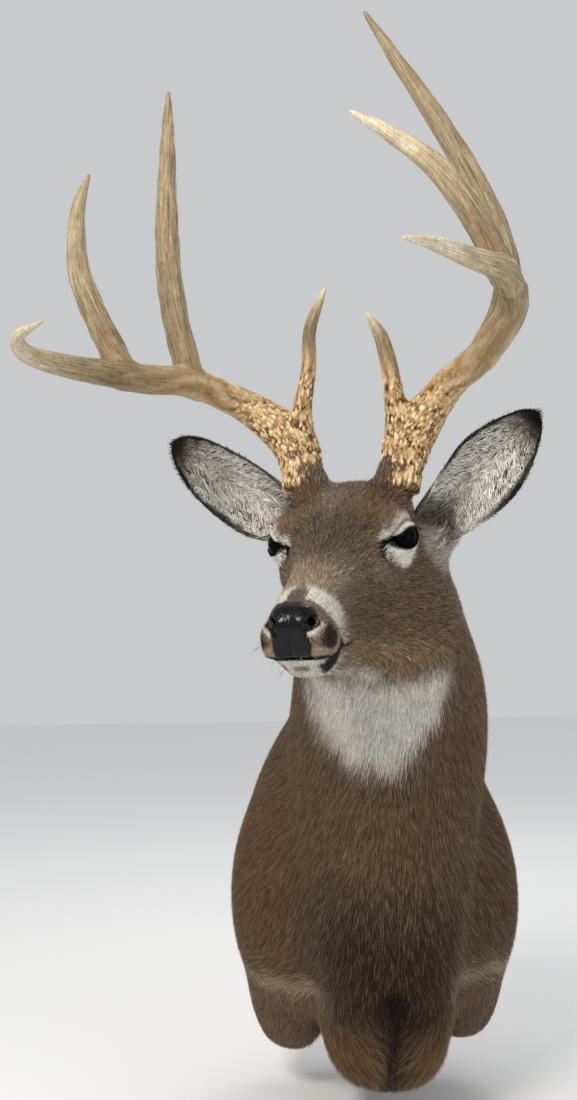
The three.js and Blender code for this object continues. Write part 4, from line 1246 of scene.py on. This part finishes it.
def build_antler(name, spec, material):
    """Beam and tines fused into one bone, with pearls and channels raised on its lower half."""
    parts, lengths = [], []
    for key, taper, count in ANTLER_PARTS:
        radius, points = (1, spec[key]) if key == "beam" else spec[key]
        path, length = centripetal([rack_point(spec["side"], *p) for p in points], count)
        share = np.linspace(0, 1, count)
        parts.append((path, radius * spline(share, taper), share))
        lengths.append(length)
    tubes = [tube(path, radii, TUBE_SIDES) for path, radii, _ in parts]
    firsts = np.cumsum([0] + [len(made[0]) for made in tubes])
    quads = np.concatenate([made[1] + first for made, first in zip(tubes, firsts)])
    bone = mesh_object(name, np.concatenate([made[0] for made in tubes]), quads, material)
    voxel = VOXEL
    fused = made_by_modifier(bone, "REMESH", mode="VOXEL", voxel_size=voxel * MM)
    if not fused.materials:
        fused.materials.append(material)
    places, normals = mesh_arrays(fused)

    # distance to each part's own surface, fused with soft webs at the forks
    field = np.full(len(places), 1e3)
    nearest = np.zeros(len(places), int)
    best = np.full(len(places), 1e9)
    first = 0
    for path, radii, _ in parts:
        gap, which = nearest_sample(places, path, radii)
        better = gap < best
        nearest[better] = first + which[better]
        best = np.minimum(best, gap)
        field = blend(field, gap, FORK_WEB)
        first += len(path)

    # where each vertex is: its part, the share and length along it, and the angle round it
    samples, radii, shares = (np.concatenate([part[k] for part in parts]) for k in range(3))
    across, other, tangent = (np.concatenate([made[k] for made in tubes]) for k in (2, 3, 4))
    part = np.repeat(np.arange(len(parts)), [len(path) for path, _, _ in parts])[nearest]
    q = places - samples[nearest]
    s = shares[nearest]
    along = s * np.array(lengths)[part] + (q * tangent[nearest]).sum(1)
    angle = np.arctan2((q * other[nearest]).sum(1), (q * across[nearest]).sum(1))
    on_beam = part == 0
    worn = np.where(on_beam, read_rows(s, BEAM_WORN), read_rows(s, TINE_WORN))
    worn = np.where(part == 1, read_rows(s, BROW_WORN), worn)
    rough = smooth(worn, 0.42, 0.12) * (0.8 + 0.35 * ripple(places, 16, 8))
    worn = np.minimum(worn, np.array(spec["worn_tips"])[part])

    # relief: pearls on the rough part, channels along the bone and the burr at its foot
    girth = radii[nearest]
    drawn_out = np.stack([np.cos(angle) * girth, np.sin(angle) * girth, along * 0.42 + 90 * part], 1)
    pearls = pearl_heights(drawn_out, 3.3, 3) * 1.1 + pearl_heights(drawn_out, 2.2, 4) * 0.9
    channels = np.sin(angle * 5 + 3 * ripple(places, 60, 21))
    channels = channels * smooth(worn, 0.1, 0.3) * smooth(worn, 0.9, 0.6)
    burr = np.exp(-((s - 0.075) / 0.022) ** 2) * on_beam
    height = rough * (pearls - 0.8) * 1.2 + 0.45 * channels + burr * (0.9 + 1.0 * ripple(places, 5, 9))
    places = places - normals * (np.clip(field, -3, 3))[:, None] + normals * height[:, None]
    fused.vertices.foreach_set("co", (places * MM).astype(np.float32).ravel())
    fused.update()
    set_attribute(fused, "Worn", np.clip(worn + 0.05 * ripple(places, 30, 2), 0, 1))
    raised = 0.42 + 0.32 * (rough * (pearls - 0.9)) + 0.1 * channels
    set_attribute(fused, "Raised", np.clip(raised, 0, 1))
    grain = np.stack([along * 0.01 + part * 7, np.cos(angle) * 0.3, np.sin(angle) * 0.3], 1)
    layer = fused.attributes.new("Grain", "FLOAT_VECTOR", "POINT")
    layer.data.foreach_set("vector", grain.astype(np.float32).ravel())
    return bone


def pearl_heights(places, spacing, seed):
    """Rounded knobs scattered over a surface: one in most cells of a jittered grid."""
    cell = np.floor(places / spacing).astype(int)
    best = np.full(len(places), 9.0)
    for shift in np.stack(np.meshgrid(*[(-1, 0, 1)] * 3, indexing="ij"), -1).reshape(-1, 3):
        c = cell + shift
        knob = (c + scatter(c, seed)) * spacing
        size = 0.55 + 0.45 * scatter(c, seed + 50)[:, 0]
        best = np.minimum(best, np.linalg.norm(places - knob, axis=1) / (spacing * 0.62 * size))
    return np.sqrt(np.clip(1 - best**2, 0, 1))


def scatter(cell, seed):
    """Three even numbers from 0 to 1 for each whole-numbered cell."""
    n = cell[:, 0] * 73856093 ^ cell[:, 1] * 19349663 ^ cell[:, 2] * 83492791 ^ seed * 2654435761
    out = []
    for k in range(3):
        n = (n ^ (n >> 13)) * 1274126177 & 0x7FFFFFFF
        out.append((n & 0xFFFFF) / 0xFFFFF)
        n = n + 374761393 * (k + 1)
    return np.stack(out, 1)


# ---------- the coat ----------
def lie_of_coat(p, normal):
    """Which way the hair points: back over the face, down the neck and breast, out along the ears."""
    x, _, z = p.T
    u, v, w = head_coordinates(p)
    side = np.sign(x)
    aside = np.abs(x)
    ones = np.ones(len(p))
    down = np.stack([0.15 * side * smooth(aside, 20, 110), 0.25 + 0.35 * smooth(aside, 60, 130), -ones], 1)
    elbow = np.exp(-((z + 98) / 22) ** 2) * smooth(aside, 58, 90)
    down = down + elbow[:, None] * np.stack([0.9 * side, 0.9 * ones, 0.75 * ones], 1)
    brisket = smooth(z, -96, -128) * smooth(aside, 88, 68)
    inward = np.stack([-0.9 * side * smooth(aside, 3, 16), -0.25 * ones, 0.35 * ones], 1)
    down = down + brisket[:, None] * inward * smooth(z, -214, -180)[:, None]
    down[:, 0] += 0.22 * ripple(p, 70, 31)
    back = -np.broadcast_to(FORWARD, p.shape)
    cheek = smooth(v, 5, -40)[:, None]
    back = back - 0.35 * cheek * UP
    crown = (smooth(u, -10, -60) * smooth(v, 25, 45))[:, None]
    back = back + crown * (0.9 * UP + 0.3 * ripple(p, 25, 41)[:, None] * LEFT)
    chin = (smooth(v, -44, -50) * smooth(u, 130, 150))[:, None]
    back = back - 0.9 * chin * UP
    back = back + 0.25 * np.sign(w)[:, None] * smooth(u, 150, 20)[:, None] * LEFT
    on_head = (smooth(u, -125, -80) * smooth(v, -135, -95))[:, None]
    lie = unit(down) * (1 - on_head) + unit(back) * on_head
    for ear in EARS.values():
        _, axis, facing, across, _ = ear_frame(ear)
        s, t, depth, gap = ear_coordinates(ear, p)
        on_ear = (smooth(gap, 9, 4) * smooth(s, 0.02, 0.12))[:, None]
        angle = t * np.radians(spline(s, EAR_CUP))
        around = np.cos(angle)[:, None] * across + np.sin(angle)[:, None] * facing
        inner = axis - 1.1 * (np.sign(t) * smooth(np.abs(t), 0.05, 0.5))[:, None] * around
        outer = axis + 0.15 * t[:, None] * around
        lie = lie * (1 - on_ear) + np.where(depth[:, None] > 0, inner, outer) * on_ear
    return unit(lie - (lie * normal).sum(1)[:, None] * normal)


def coat_unwrap(p):
    """Place of each point on an unwrap of the hide: body, head and the four faces of the ears."""
    x, y, z = p.T
    u, v, w = head_coordinates(p)
    body = np.stack([0.25 + 0.24 * np.arctan2(x, -(y + 150)) / math.pi, 0.01 + 0.97 * (z + 240) / 700], 1)
    head = np.stack([0.75 + 0.24 * np.arctan2(w, v + 30) / math.pi, 0.01 + 0.45 * (u + 135) / 360], 1)
    on_head = (u > -100) & (v > -125)
    place = np.where(on_head[:, None], head, body)
    for column, ear in enumerate(EARS.values()):
        s, t, depth, gap = ear_coordinates(ear, p)
        left_edge = 0.56 + 0.22 * column + 0.11 * (depth > 0)
        leaf = np.stack([left_edge + 0.05 * t, 0.52 + 0.44 * s], 1)
        place = np.where(((gap < 7) & (s > 0.04))[:, None], leaf, place)
    return np.clip(place, 0.004, 0.996)


class Skin:
    """The hide's triangles, ready to take roots."""

    def __init__(self, mesh):
        self.places, self.normals = mesh_arrays(mesh)
        self.triangles = triangles_of(mesh)
        corners = self.places[self.triangles]
        self.middles = corners.mean(1)
        crossed = np.cross(corners[:, 1] - corners[:, 0], corners[:, 2] - corners[:, 0])
        self.areas = np.linalg.norm(crossed, axis=1) / 2

    def roots(self, density, spacing, dice):
        """Roots about spacing apart where density is 1, further apart where it is less."""
        weight = self.areas * density
        total = weight.cumsum()
        count = int(total[-1] / spacing**2)
        picks = (np.arange(count) + dice.uniform(0, 1, count)) / count * total[-1]
        chosen = np.minimum(np.searchsorted(total, picks), len(total) - 1)
        a, b = dice.uniform(0, 1, (2, count))
        flip = a + b > 1
        a = np.where(flip, 1 - a, a)
        b = np.where(flip, 1 - b, b)
        share = np.stack([1 - a - b, a, b], 1)[..., None]
        corners = self.triangles[chosen]
        place = (self.places[corners] * share).sum(1)
        normal = unit((self.normals[corners] * share).sum(1))
        return place, normal


# a tuft's triangles, by how many vertices its rings have: one ring, or two with a knee
TUFT_TRIANGLES = {
    3: [(0, 2, 1), (0, 1, 3), (1, 2, 3), (2, 0, 3)],
    6: [(0, 2, 1), (0, 1, 4), (0, 4, 3), (1, 2, 5), (1, 5, 4), (2, 0, 3), (2, 3, 5),
        (3, 4, 6), (4, 5, 6), (5, 3, 6)],
}
MOST_TRIANGLES = 190000  # of one piece of coat
WALL_GAP = 0.6  # no tuft comes nearer the wall
LOCK_SIZE = 3.4  # width of a darker or paler lock
LOCK_SHAPE = (1, 1, 0.45)  # locks are drawn out down the body


def grow(name, material, place, normal, length, width, rise, dice, wander=0.12, bent=True,
         speckle=0.3, lie=None, colour=None, surface=None, pale_tips=0.3, stray=4.0, locks=0.0,
         clump=0.0):
    """Closed tufts, each from its root along the lie of the coat to a tip that rises over the hide.

    length, width and rise are in millimetres, one for all roots or one each. A bent tuft has a
    knee half-way. surface gives the height of places over what the tufts follow, and clump darkens
    some locks.
    """
    count = len(place)
    along = lie_of_coat(place, normal) if lie is None else lie
    across = np.cross(normal, along)
    swing = (dice.normal(0, wander, count) + locks * ripple(place, 11, 61))[:, None]
    along = unit(along + across * swing)
    across = np.cross(normal, along)
    length = (length * dice.uniform(0.75, 1.2, count))[:, None]
    width = (width * dice.uniform(0.7, 1.25, count))[:, None]
    rise = (rise * dice.uniform(0.55, 1.0, count))[:, None]
    thick = 0.35 * width
    rings = [(place - 0.5 * normal, 0.7)]
    if bent:
        rings.append((over_surface(place, normal, along * length * 0.5, rise * 0.62, surface), 1.0))
    tip = over_surface(place, normal, along * length, rise, surface)
    points = []
    for middle, share in rings:
        points.append(middle - across * width * share / 2)
        points.append(middle + across * width * share / 2)
        points.append(middle + normal * thick * share)
    points.append(tip)
    vertices = np.stack(points, 1)
    vertices[..., 1] = np.minimum(vertices[..., 1], -WALL_GAP)
    per_tuft = vertices.shape[1]
    faces = np.array(TUFT_TRIANGLES[per_tuft - 1])
    tone = np.exp(dice.normal(0, speckle, count) + clump * ripple(place * LOCK_SHAPE, LOCK_SIZE, 71))[:, None]
    if colour is None:
        base = markings(place + dice.normal(0, stray, place.shape)) * tone
    else:
        base = np.broadcast_to(colour, place.shape) * tone
    banded = (dice.uniform(0, 1, count) < pale_tips) * smooth(base.mean(1), 0.015, 0.06)
    tips = base * dice.uniform(0.5, 1.1, count)[:, None]
    tips = mix(tips, np.maximum(base, mix(base, PALE_TIP, 0.6)), banded[:, None])
    colours = np.repeat(base[:, None, :], per_tuft, axis=1)
    shade = mix(0.7, 0.97, smooth(base.mean(1), 0.2, 0.55))[:, None, None]
    colours[:, :-1] *= shade
    colours[:, -1] = tips
    colours = np.clip(colours, 0, 0.95)
    patch = np.zeros((per_tuft, 2))
    patch[:-1, 0] = np.tile([-0.0014, 0.0014, 0.0], len(rings))
    patch[:-1, 1] = np.repeat(np.linspace(0, 0.0014, len(rings)), 3)
    patch[-1] = (0.0, 0.0028)
    unwrapped = coat_unwrap(place)[:, None, :] + patch
    order = np.argsort(place[:, 2])
    parts = max(1, math.ceil(count * len(faces) / MOST_TRIANGLES))
    made = []
    for number, chosen in enumerate(np.array_split(order, parts), 1):
        chunk = len(chosen)
        index = (np.arange(chunk)[:, None, None] * per_tuft + faces[None]).reshape(-1, 3)
        label = name if parts == 1 else f"{name}_{number}"
        thing = mesh_object(label, vertices[chosen].reshape(-1, 3), index, material,
                            {"Coat": colours[chosen].reshape(-1, 3)})
        layer = thing.data.uv_layers.new(name="OFBake")
        flat = unwrapped[chosen].reshape(-1, 2)[index.ravel()]
        layer.data.foreach_set("uv", flat.astype(np.float32).ravel())
        made.append(thing)
    return made


def over_surface(place, normal, step, rise, surface):
    """A point one step along from a root, rise above the surface there."""
    target = place + step
    if surface is None:
        return target + normal * rise
    gap = surface(target)[:, None]
    limit = 0.5 * np.linalg.norm(step, axis=1, keepdims=True) + 1
    return target + normal * (rise - np.clip(gap, -limit, limit))


def nose_pad_share(u, v, w):
    """1 under the bare pad of the nose."""
    over = np.abs(w - NOSE_MIDDLE) - nose_half(v)
    return smooth(over, 0.6, -0.6) * (u > 182) * (v > NOSE_LOW - 1) * smooth(v, 2.6, 1.2)


def nostril_distance(u, v, w):
    """How far outside the nostril's mouth and slit a place is."""
    side = np.abs(w)
    return np.min([round_cone(u, v, side, *step) for step in NOSTRIL_STEPS], axis=0)


def bare(p):
    """1 where no hair grows: nose pad, lips, lids, nostrils and what faces the wall."""
    u, v, w = head_coordinates(p)
    side = np.abs(w)
    a, b, out, away = eye_coordinates(u, v, side)
    lids = smooth(lid_opening(a, b), 1.8, 0.8) * (away < 30) * (out > 0)
    pad = nose_pad_share(u, v, w)
    mouth = smooth(line_distance(u, v, MOUTH_LINE), 2.0, 1.2) * (u > 114)
    duct = smooth(line_distance(u, v, TEAR_DUCT), 2.8, 1.8) * (side > 25)
    nostril = smooth(nostril_distance(u, v, w), 0.8, 0.1)
    wall = smooth(p[:, 1], -4, -2)
    return np.clip(lids + pad + mouth + duct + nostril + wall, 0, 1)


def leaf_height(ear, roots, side):
    """Height of places over the ear's leaf, front (1) or back (-1), each from its own root's level."""
    level = side * ear_coordinates(ear, roots)[2]
    return lambda p: side * ear_coordinates(ear, p)[2] - level


def near_ears(p):
    on = np.zeros(len(p))
    for ear in EARS.values():
        s, _, _, gap = ear_coordinates(ear, p)
        on = np.maximum(on, smooth(gap, 7, 4) * smooth(s, 0.03, 0.09))
    return on


COAT_SEED = 2005
# how far apart the roots are
SPACING = {"body": 1.75, "stubs": 1.9, "face": 1.25, "crown": 1.8, "ear_back": 1.5, "ear_inside": 1.45}


def build_coat(hide):
    dice = np.random.default_rng(COAT_SEED)
    skin = Skin(hide.data)
    middles = skin.middles
    u, v, _ = head_coordinates(middles)
    open_skin = 1 - bare(middles)
    ear = near_ears(middles)
    head = smooth(u, -130, -60) * smooth(v, -150, -112) * (1 - ear)
    stub = smooth(middles[:, 2], -118, -134) * smooth(np.abs(middles[:, 0]), 66, 78)
    body = (1 - head) * (1 - ear)
    fur = hair_material()
    made = []

    place, normal = skin.roots(body * open_skin * (1 - 0.9 * stub), SPACING["body"], dice)
    depth = coat_depth(place, *head_coordinates(place))
    brisket = smooth(place[:, 2], -130, -185) * smooth(np.abs(place[:, 0]), 86, 66)
    length = 12 + 9 * brisket + 2 * smooth(place[:, 2], 100, 0)
    made += grow("fur_body", fur, place, normal, length, 1.0 + 0.5 * brisket, depth * 0.8, dice,
                 bent=False, surface=hide_field, clump=0.16, speckle=0.36)

    place, normal = skin.roots(stub * open_skin * (1 - ear), SPACING["stubs"], dice)
    made += grow("fur_stubs", fur, place, normal, 11, 1.2, 2.4, dice, bent=False, stray=2.5,
                 surface=hide_field)

    place, normal = skin.roots(head * open_skin, SPACING["face"], dice)
    hu, hv, hw = head_coordinates(place)
    depth = coat_depth(place, hu, hv, hw)
    fine = smooth(hu, 60, 190)
    round_eye = smooth(np.hypot(np.hypot(hu - 4, hv - 2), np.abs(hw) - 55), 40, 22)
    length = mix(mix(10.0, 5.0, fine), 3.4, round_eye)
    width = mix(mix(1.1, 0.65, fine), 0.6, round_eye)
    made += grow("fur_face", fur, place, normal, length, width, depth * 0.75, dice, wander=0.24,
                 bent=False, stray=1.3, surface=hide_field, speckle=0.62, pale_tips=0.5, clump=0.24)

    crown = smooth(u, -118, -90) * smooth(u, -12, -46) * smooth(v, 22, 40) * (1 - ear) * open_skin
    place, normal = skin.roots(crown, SPACING["crown"], dice)
    made += grow("fur_crown", fur, place, normal, 12, 0.95, 6, dice, wander=0.4, surface=hide_field,
                 pale_tips=0.15, stray=2.0)

    for name, one in EARS.items():
        s, _, front, gap = ear_coordinates(one, middles)
        here = smooth(gap, 7, 4) * smooth(s, 0.02, 0.08)
        place, normal = skin.roots(here * (front <= 0), SPACING["ear_back"], dice)
        made += grow(f"fur_ear_{name}_back", fur, place, normal, 6, 0.9, 0.8, dice, bent=False,
                     surface=leaf_height(one, place, -1))
        place, normal = skin.roots(here * (front > 0), SPACING["ear_inside"], dice)
        s, t, _, _ = ear_coordinates(one, place)
        long = smooth(np.abs(t), 0.86, 0.6) * smooth(s, 0.92, 0.7)
        made += grow(f"fur_ear_{name}_inside", fur, place, normal, 3.5 + 12 * long, 0.7 + 0.35 * long,
                     0.7 + 2.2 * long, dice, wander=0.26, surface=leaf_height(one, place, 1),
                     speckle=0.22, stray=1.2, locks=0.55)
    made += grow_cowlick(fur, hide, dice)
    made += grow_lashes(fur, dice)
    made += grow_whiskers(fur, dice)
    return made


COWLICK = np.array([-2.0, -310.0, -103.0])  # where the hair of both sides of the breast stands up
COWLICK_TUFTS = 70
COWLICK_SPREAD = (7, 3, 9)
LASHES = 30
LASH_ANGLES = (0.99, 2.3)  # along the upper lid's arc
LASH_LIFT = 0.8  # over the lid's edge
WHISKERS = 44


def nearest_on(skin_places, skin_normals, wanted):
    """The hide's own places and normals nearest to the wanted places."""
    pick = np.array([np.linalg.norm(skin_places - q, axis=1).argmin() for q in wanted])
    return skin_places[pick], skin_normals[pick]


def grow_cowlick(fur, hide, dice):
    places, normals = mesh_arrays(hide.data)
    close = np.linalg.norm(places - COWLICK, axis=1) < 40
    wanted = COWLICK + dice.normal(0, 1, (COWLICK_TUFTS, 3)) * COWLICK_SPREAD
    place, normal = nearest_on(places[close], normals[close], wanted)
    lie = unit(np.stack([dice.normal(0, 0.35, COWLICK_TUFTS), np.full(COWLICK_TUFTS, -0.5),
                         np.full(COWLICK_TUFTS, -0.9)], 1))
    # the cowlick's tufts take the parting's dark: its parted hair, and painted shade in the hollow
    return grow("fur_cowlick", fur, place, normal, 16, 1.5, 7, dice, lie=lie, colour=PARTED_HAIR_AND_SHADE,
                pale_tips=0.1)


def grow_lashes(fur, dice):
    """Black lashes along both upper lids."""
    middle_a, middle_b, radius = LID_ARCS[0]
    turn = np.linspace(*LASH_ANGLES, LASHES)
    a = middle_a + (radius + LASH_LIFT) * np.cos(turn)
    b = middle_b + (radius + LASH_LIFT) * np.sin(turn)
    out = np.sqrt(np.maximum(LID_RADIUS**2 - a**2 - b**2, 9))
    root = a[:, None] * EYE_FRONT + b[:, None] * EYE_UP + out[:, None] * EYE_OUT + EYE_PLACE
    lie = unit(0.9 * EYE_OUT + 0.45 * EYE_FRONT - 0.25 * EYE_UP + 0.03 * a[:, None] * EYE_FRONT)
    normal = unit(EYE_UP + 0.3 * EYE_OUT)
    places, normals, lies = [], [], []
    for side in (1, -1):
        mirror = np.array([1, 1, side])
        places.append(EYE_MIDDLE + (root * mirror) @ HEAD_AXES)
        normals.append(np.broadcast_to((normal * mirror) @ HEAD_AXES, root.shape))
        lies.append((lie * mirror) @ HEAD_AXES)
    return grow("fur_lashes", fur, np.concatenate(places), np.concatenate(normals), 13, 0.5, 1.5, dice,
                lie=np.concatenate(lies), colour=LID_SKIN, pale_tips=0, wander=0.1)


def grow_whiskers(fur, dice):
    """Stiff thin hairs on the lips and the chin."""
    u = dice.uniform(150, 198, WHISKERS)
    v = dice.uniform(-66, -28, WHISKERS)
    side = np.where(dice.uniform(0, 1, WHISKERS) < 0.5, 1, -1)
    reach = np.full(WHISKERS, 40.0)
    for _ in range(24):
        p = EYE_MIDDLE + np.stack([u, v, side * reach], 1) @ HEAD_AXES
        reach = np.maximum(reach - 0.8 * hide_field(p), 1)
    place = EYE_MIDDLE + np.stack([u, v, side * reach], 1) @ HEAD_AXES
    normal = unit(gradient(hide_field, place))
    lie = unit(-0.5 * FORWARD - 0.7 * UP + 0.9 * normal)
    return grow("fur_whiskers", fur, place, normal, 15, 0.35, 2, dice, lie=lie, colour=BLACK_HAIR,
                pale_tips=0)


# ---------- putting it together ----------
hide = build_hide(hide_material())
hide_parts("head", "neck", "chest", "brisket", "shoulder_left", "shoulder_right",
            "foreleg_left", "foreleg_right", "ear_left", "ear_right")
nose = build_nose(nose_material())
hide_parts("nose_pad")
glass = eye_material()
eyes = []
for eye_name, eye_side in (("eye_left", 1), ("eye_right", -1)):
    eye = build_eye(f"{eye_name}_ball", eye_side, glass)
    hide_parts(eye_name)
    eyes.append(eye)
bone = antler_material()
racks = []
for antler_name, antler in ANTLERS.items():
    rack = build_antler(f"antler_{antler_name}", antler, bone)
    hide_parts(*[f"antler_{antler_name}_{piece}" for piece in (
        "base", "beam", "beam_tip", "brow_tine", "second_tine", "third_tine")])
    racks.append(rack)
coat = build_coat(hide)

for things, slot in (([hide, *coat], "coat"), ([nose], "nose_skin"), (eyes, "eye"), (racks, "antler")):
    for thing in things:
        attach(thing, "root")
for node_name, material in (("back_board", plywood_material()), ("hanger", steel_material())):
    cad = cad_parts[node_name]
    cad.data.materials.clear()
    cad.data.materials.append(material)


# ---------- stage: camera, lights and floor, in metres ----------
CAMERA_PLACE = (-0.170, -1.6226, 0.270)
CAMERA_RIGHT = (0.99872, -0.04932, -0.01119)
CAMERA_UP = (0.00810, -0.06231, 0.99802)
CAMERA_BACK = (-0.04992, -0.99684, -0.06183)
LENS = 42.545  # in millimetres, as the sensor is
SENSOR = 36
LIGHT_TARGET = (-0.06, -0.3, 0.2)
LIGHTS = [  # name, place, size, watts, colour
    ("key", (-1.1, -1.9, 1.7), 0.7, 42, (1.0, 0.96, 0.9)),
    ("fill", (1.6, -1.6, 0.5), 1.4, 8, (0.96, 0.97, 1.0)),
    ("rim", (0.6, 1.2, 1.6), 1.0, 8, (1.0, 0.98, 0.95)),
]
FLOOR_HALF = 6.0
FLOOR_STEPS = 24
FLOOR_DROP = 0.03  # below the mount's lowest point
SKY_COLOUR = (0.93, 0.95, 0.97, 1)
SKY_STRENGTH = 0.62


def build_camera():
    data = bpy.data.cameras.new("camera")
    data.lens = LENS
    data.sensor_width = SENSOR
    camera = bpy.data.objects.new("camera", data)
    turn = Matrix((CAMERA_RIGHT, CAMERA_UP, CAMERA_BACK)).transposed()
    camera.matrix_world = Matrix.Translation(CAMERA_PLACE) @ turn.to_4x4()
    bpy.context.scene.collection.objects.link(camera)
    bpy.context.scene.camera = camera


def build_light(name, place, size, watts, colour):
    data = bpy.data.lights.new(name, "AREA")
    data.shape = "DISK"
    data.size = size
    data.energy = watts
    data.color = colour
    light = bpy.data.objects.new(name, data)
    light.location = place
    light.rotation_euler = (Vector(LIGHT_TARGET) - Vector(place)).to_track_quat("-Z", "Y").to_euler()
    bpy.context.scene.collection.objects.link(light)


def build_floor(level):
    """Wide flat sheet under the mount."""
    places = np.linspace(-FLOOR_HALF, FLOOR_HALF, FLOOR_STEPS + 1)
    x, y = np.meshgrid(places, places, indexing="ij")
    z = np.full_like(x, level)
    vertices = np.stack([x, y, z], -1).reshape(-1, 3) / MM
    index = np.arange((FLOOR_STEPS + 1) ** 2).reshape(FLOOR_STEPS + 1, FLOOR_STEPS + 1)
    quads = np.stack([index[:-1, :-1], index[1:, :-1], index[1:, 1:], index[:-1, 1:]], -1).reshape(-1, 4)
    floor = mesh_object("floor", vertices, quads, floor_material())


def build_world():
    world = bpy.data.worlds.new("studio")
    world.use_nodes = True
    background = world.node_tree.nodes["Background"]
    background.inputs["Color"].default_value = SKY_COLOUR
    background.inputs["Strength"].default_value = SKY_STRENGTH
    bpy.context.scene.world = world


build_camera()
bpy.context.scene.view_settings.view_transform = "Standard"
for light_row in LIGHTS:
    build_light(*light_row)
build_floor(cad_box[0].z - FLOOR_DROP)
build_world()
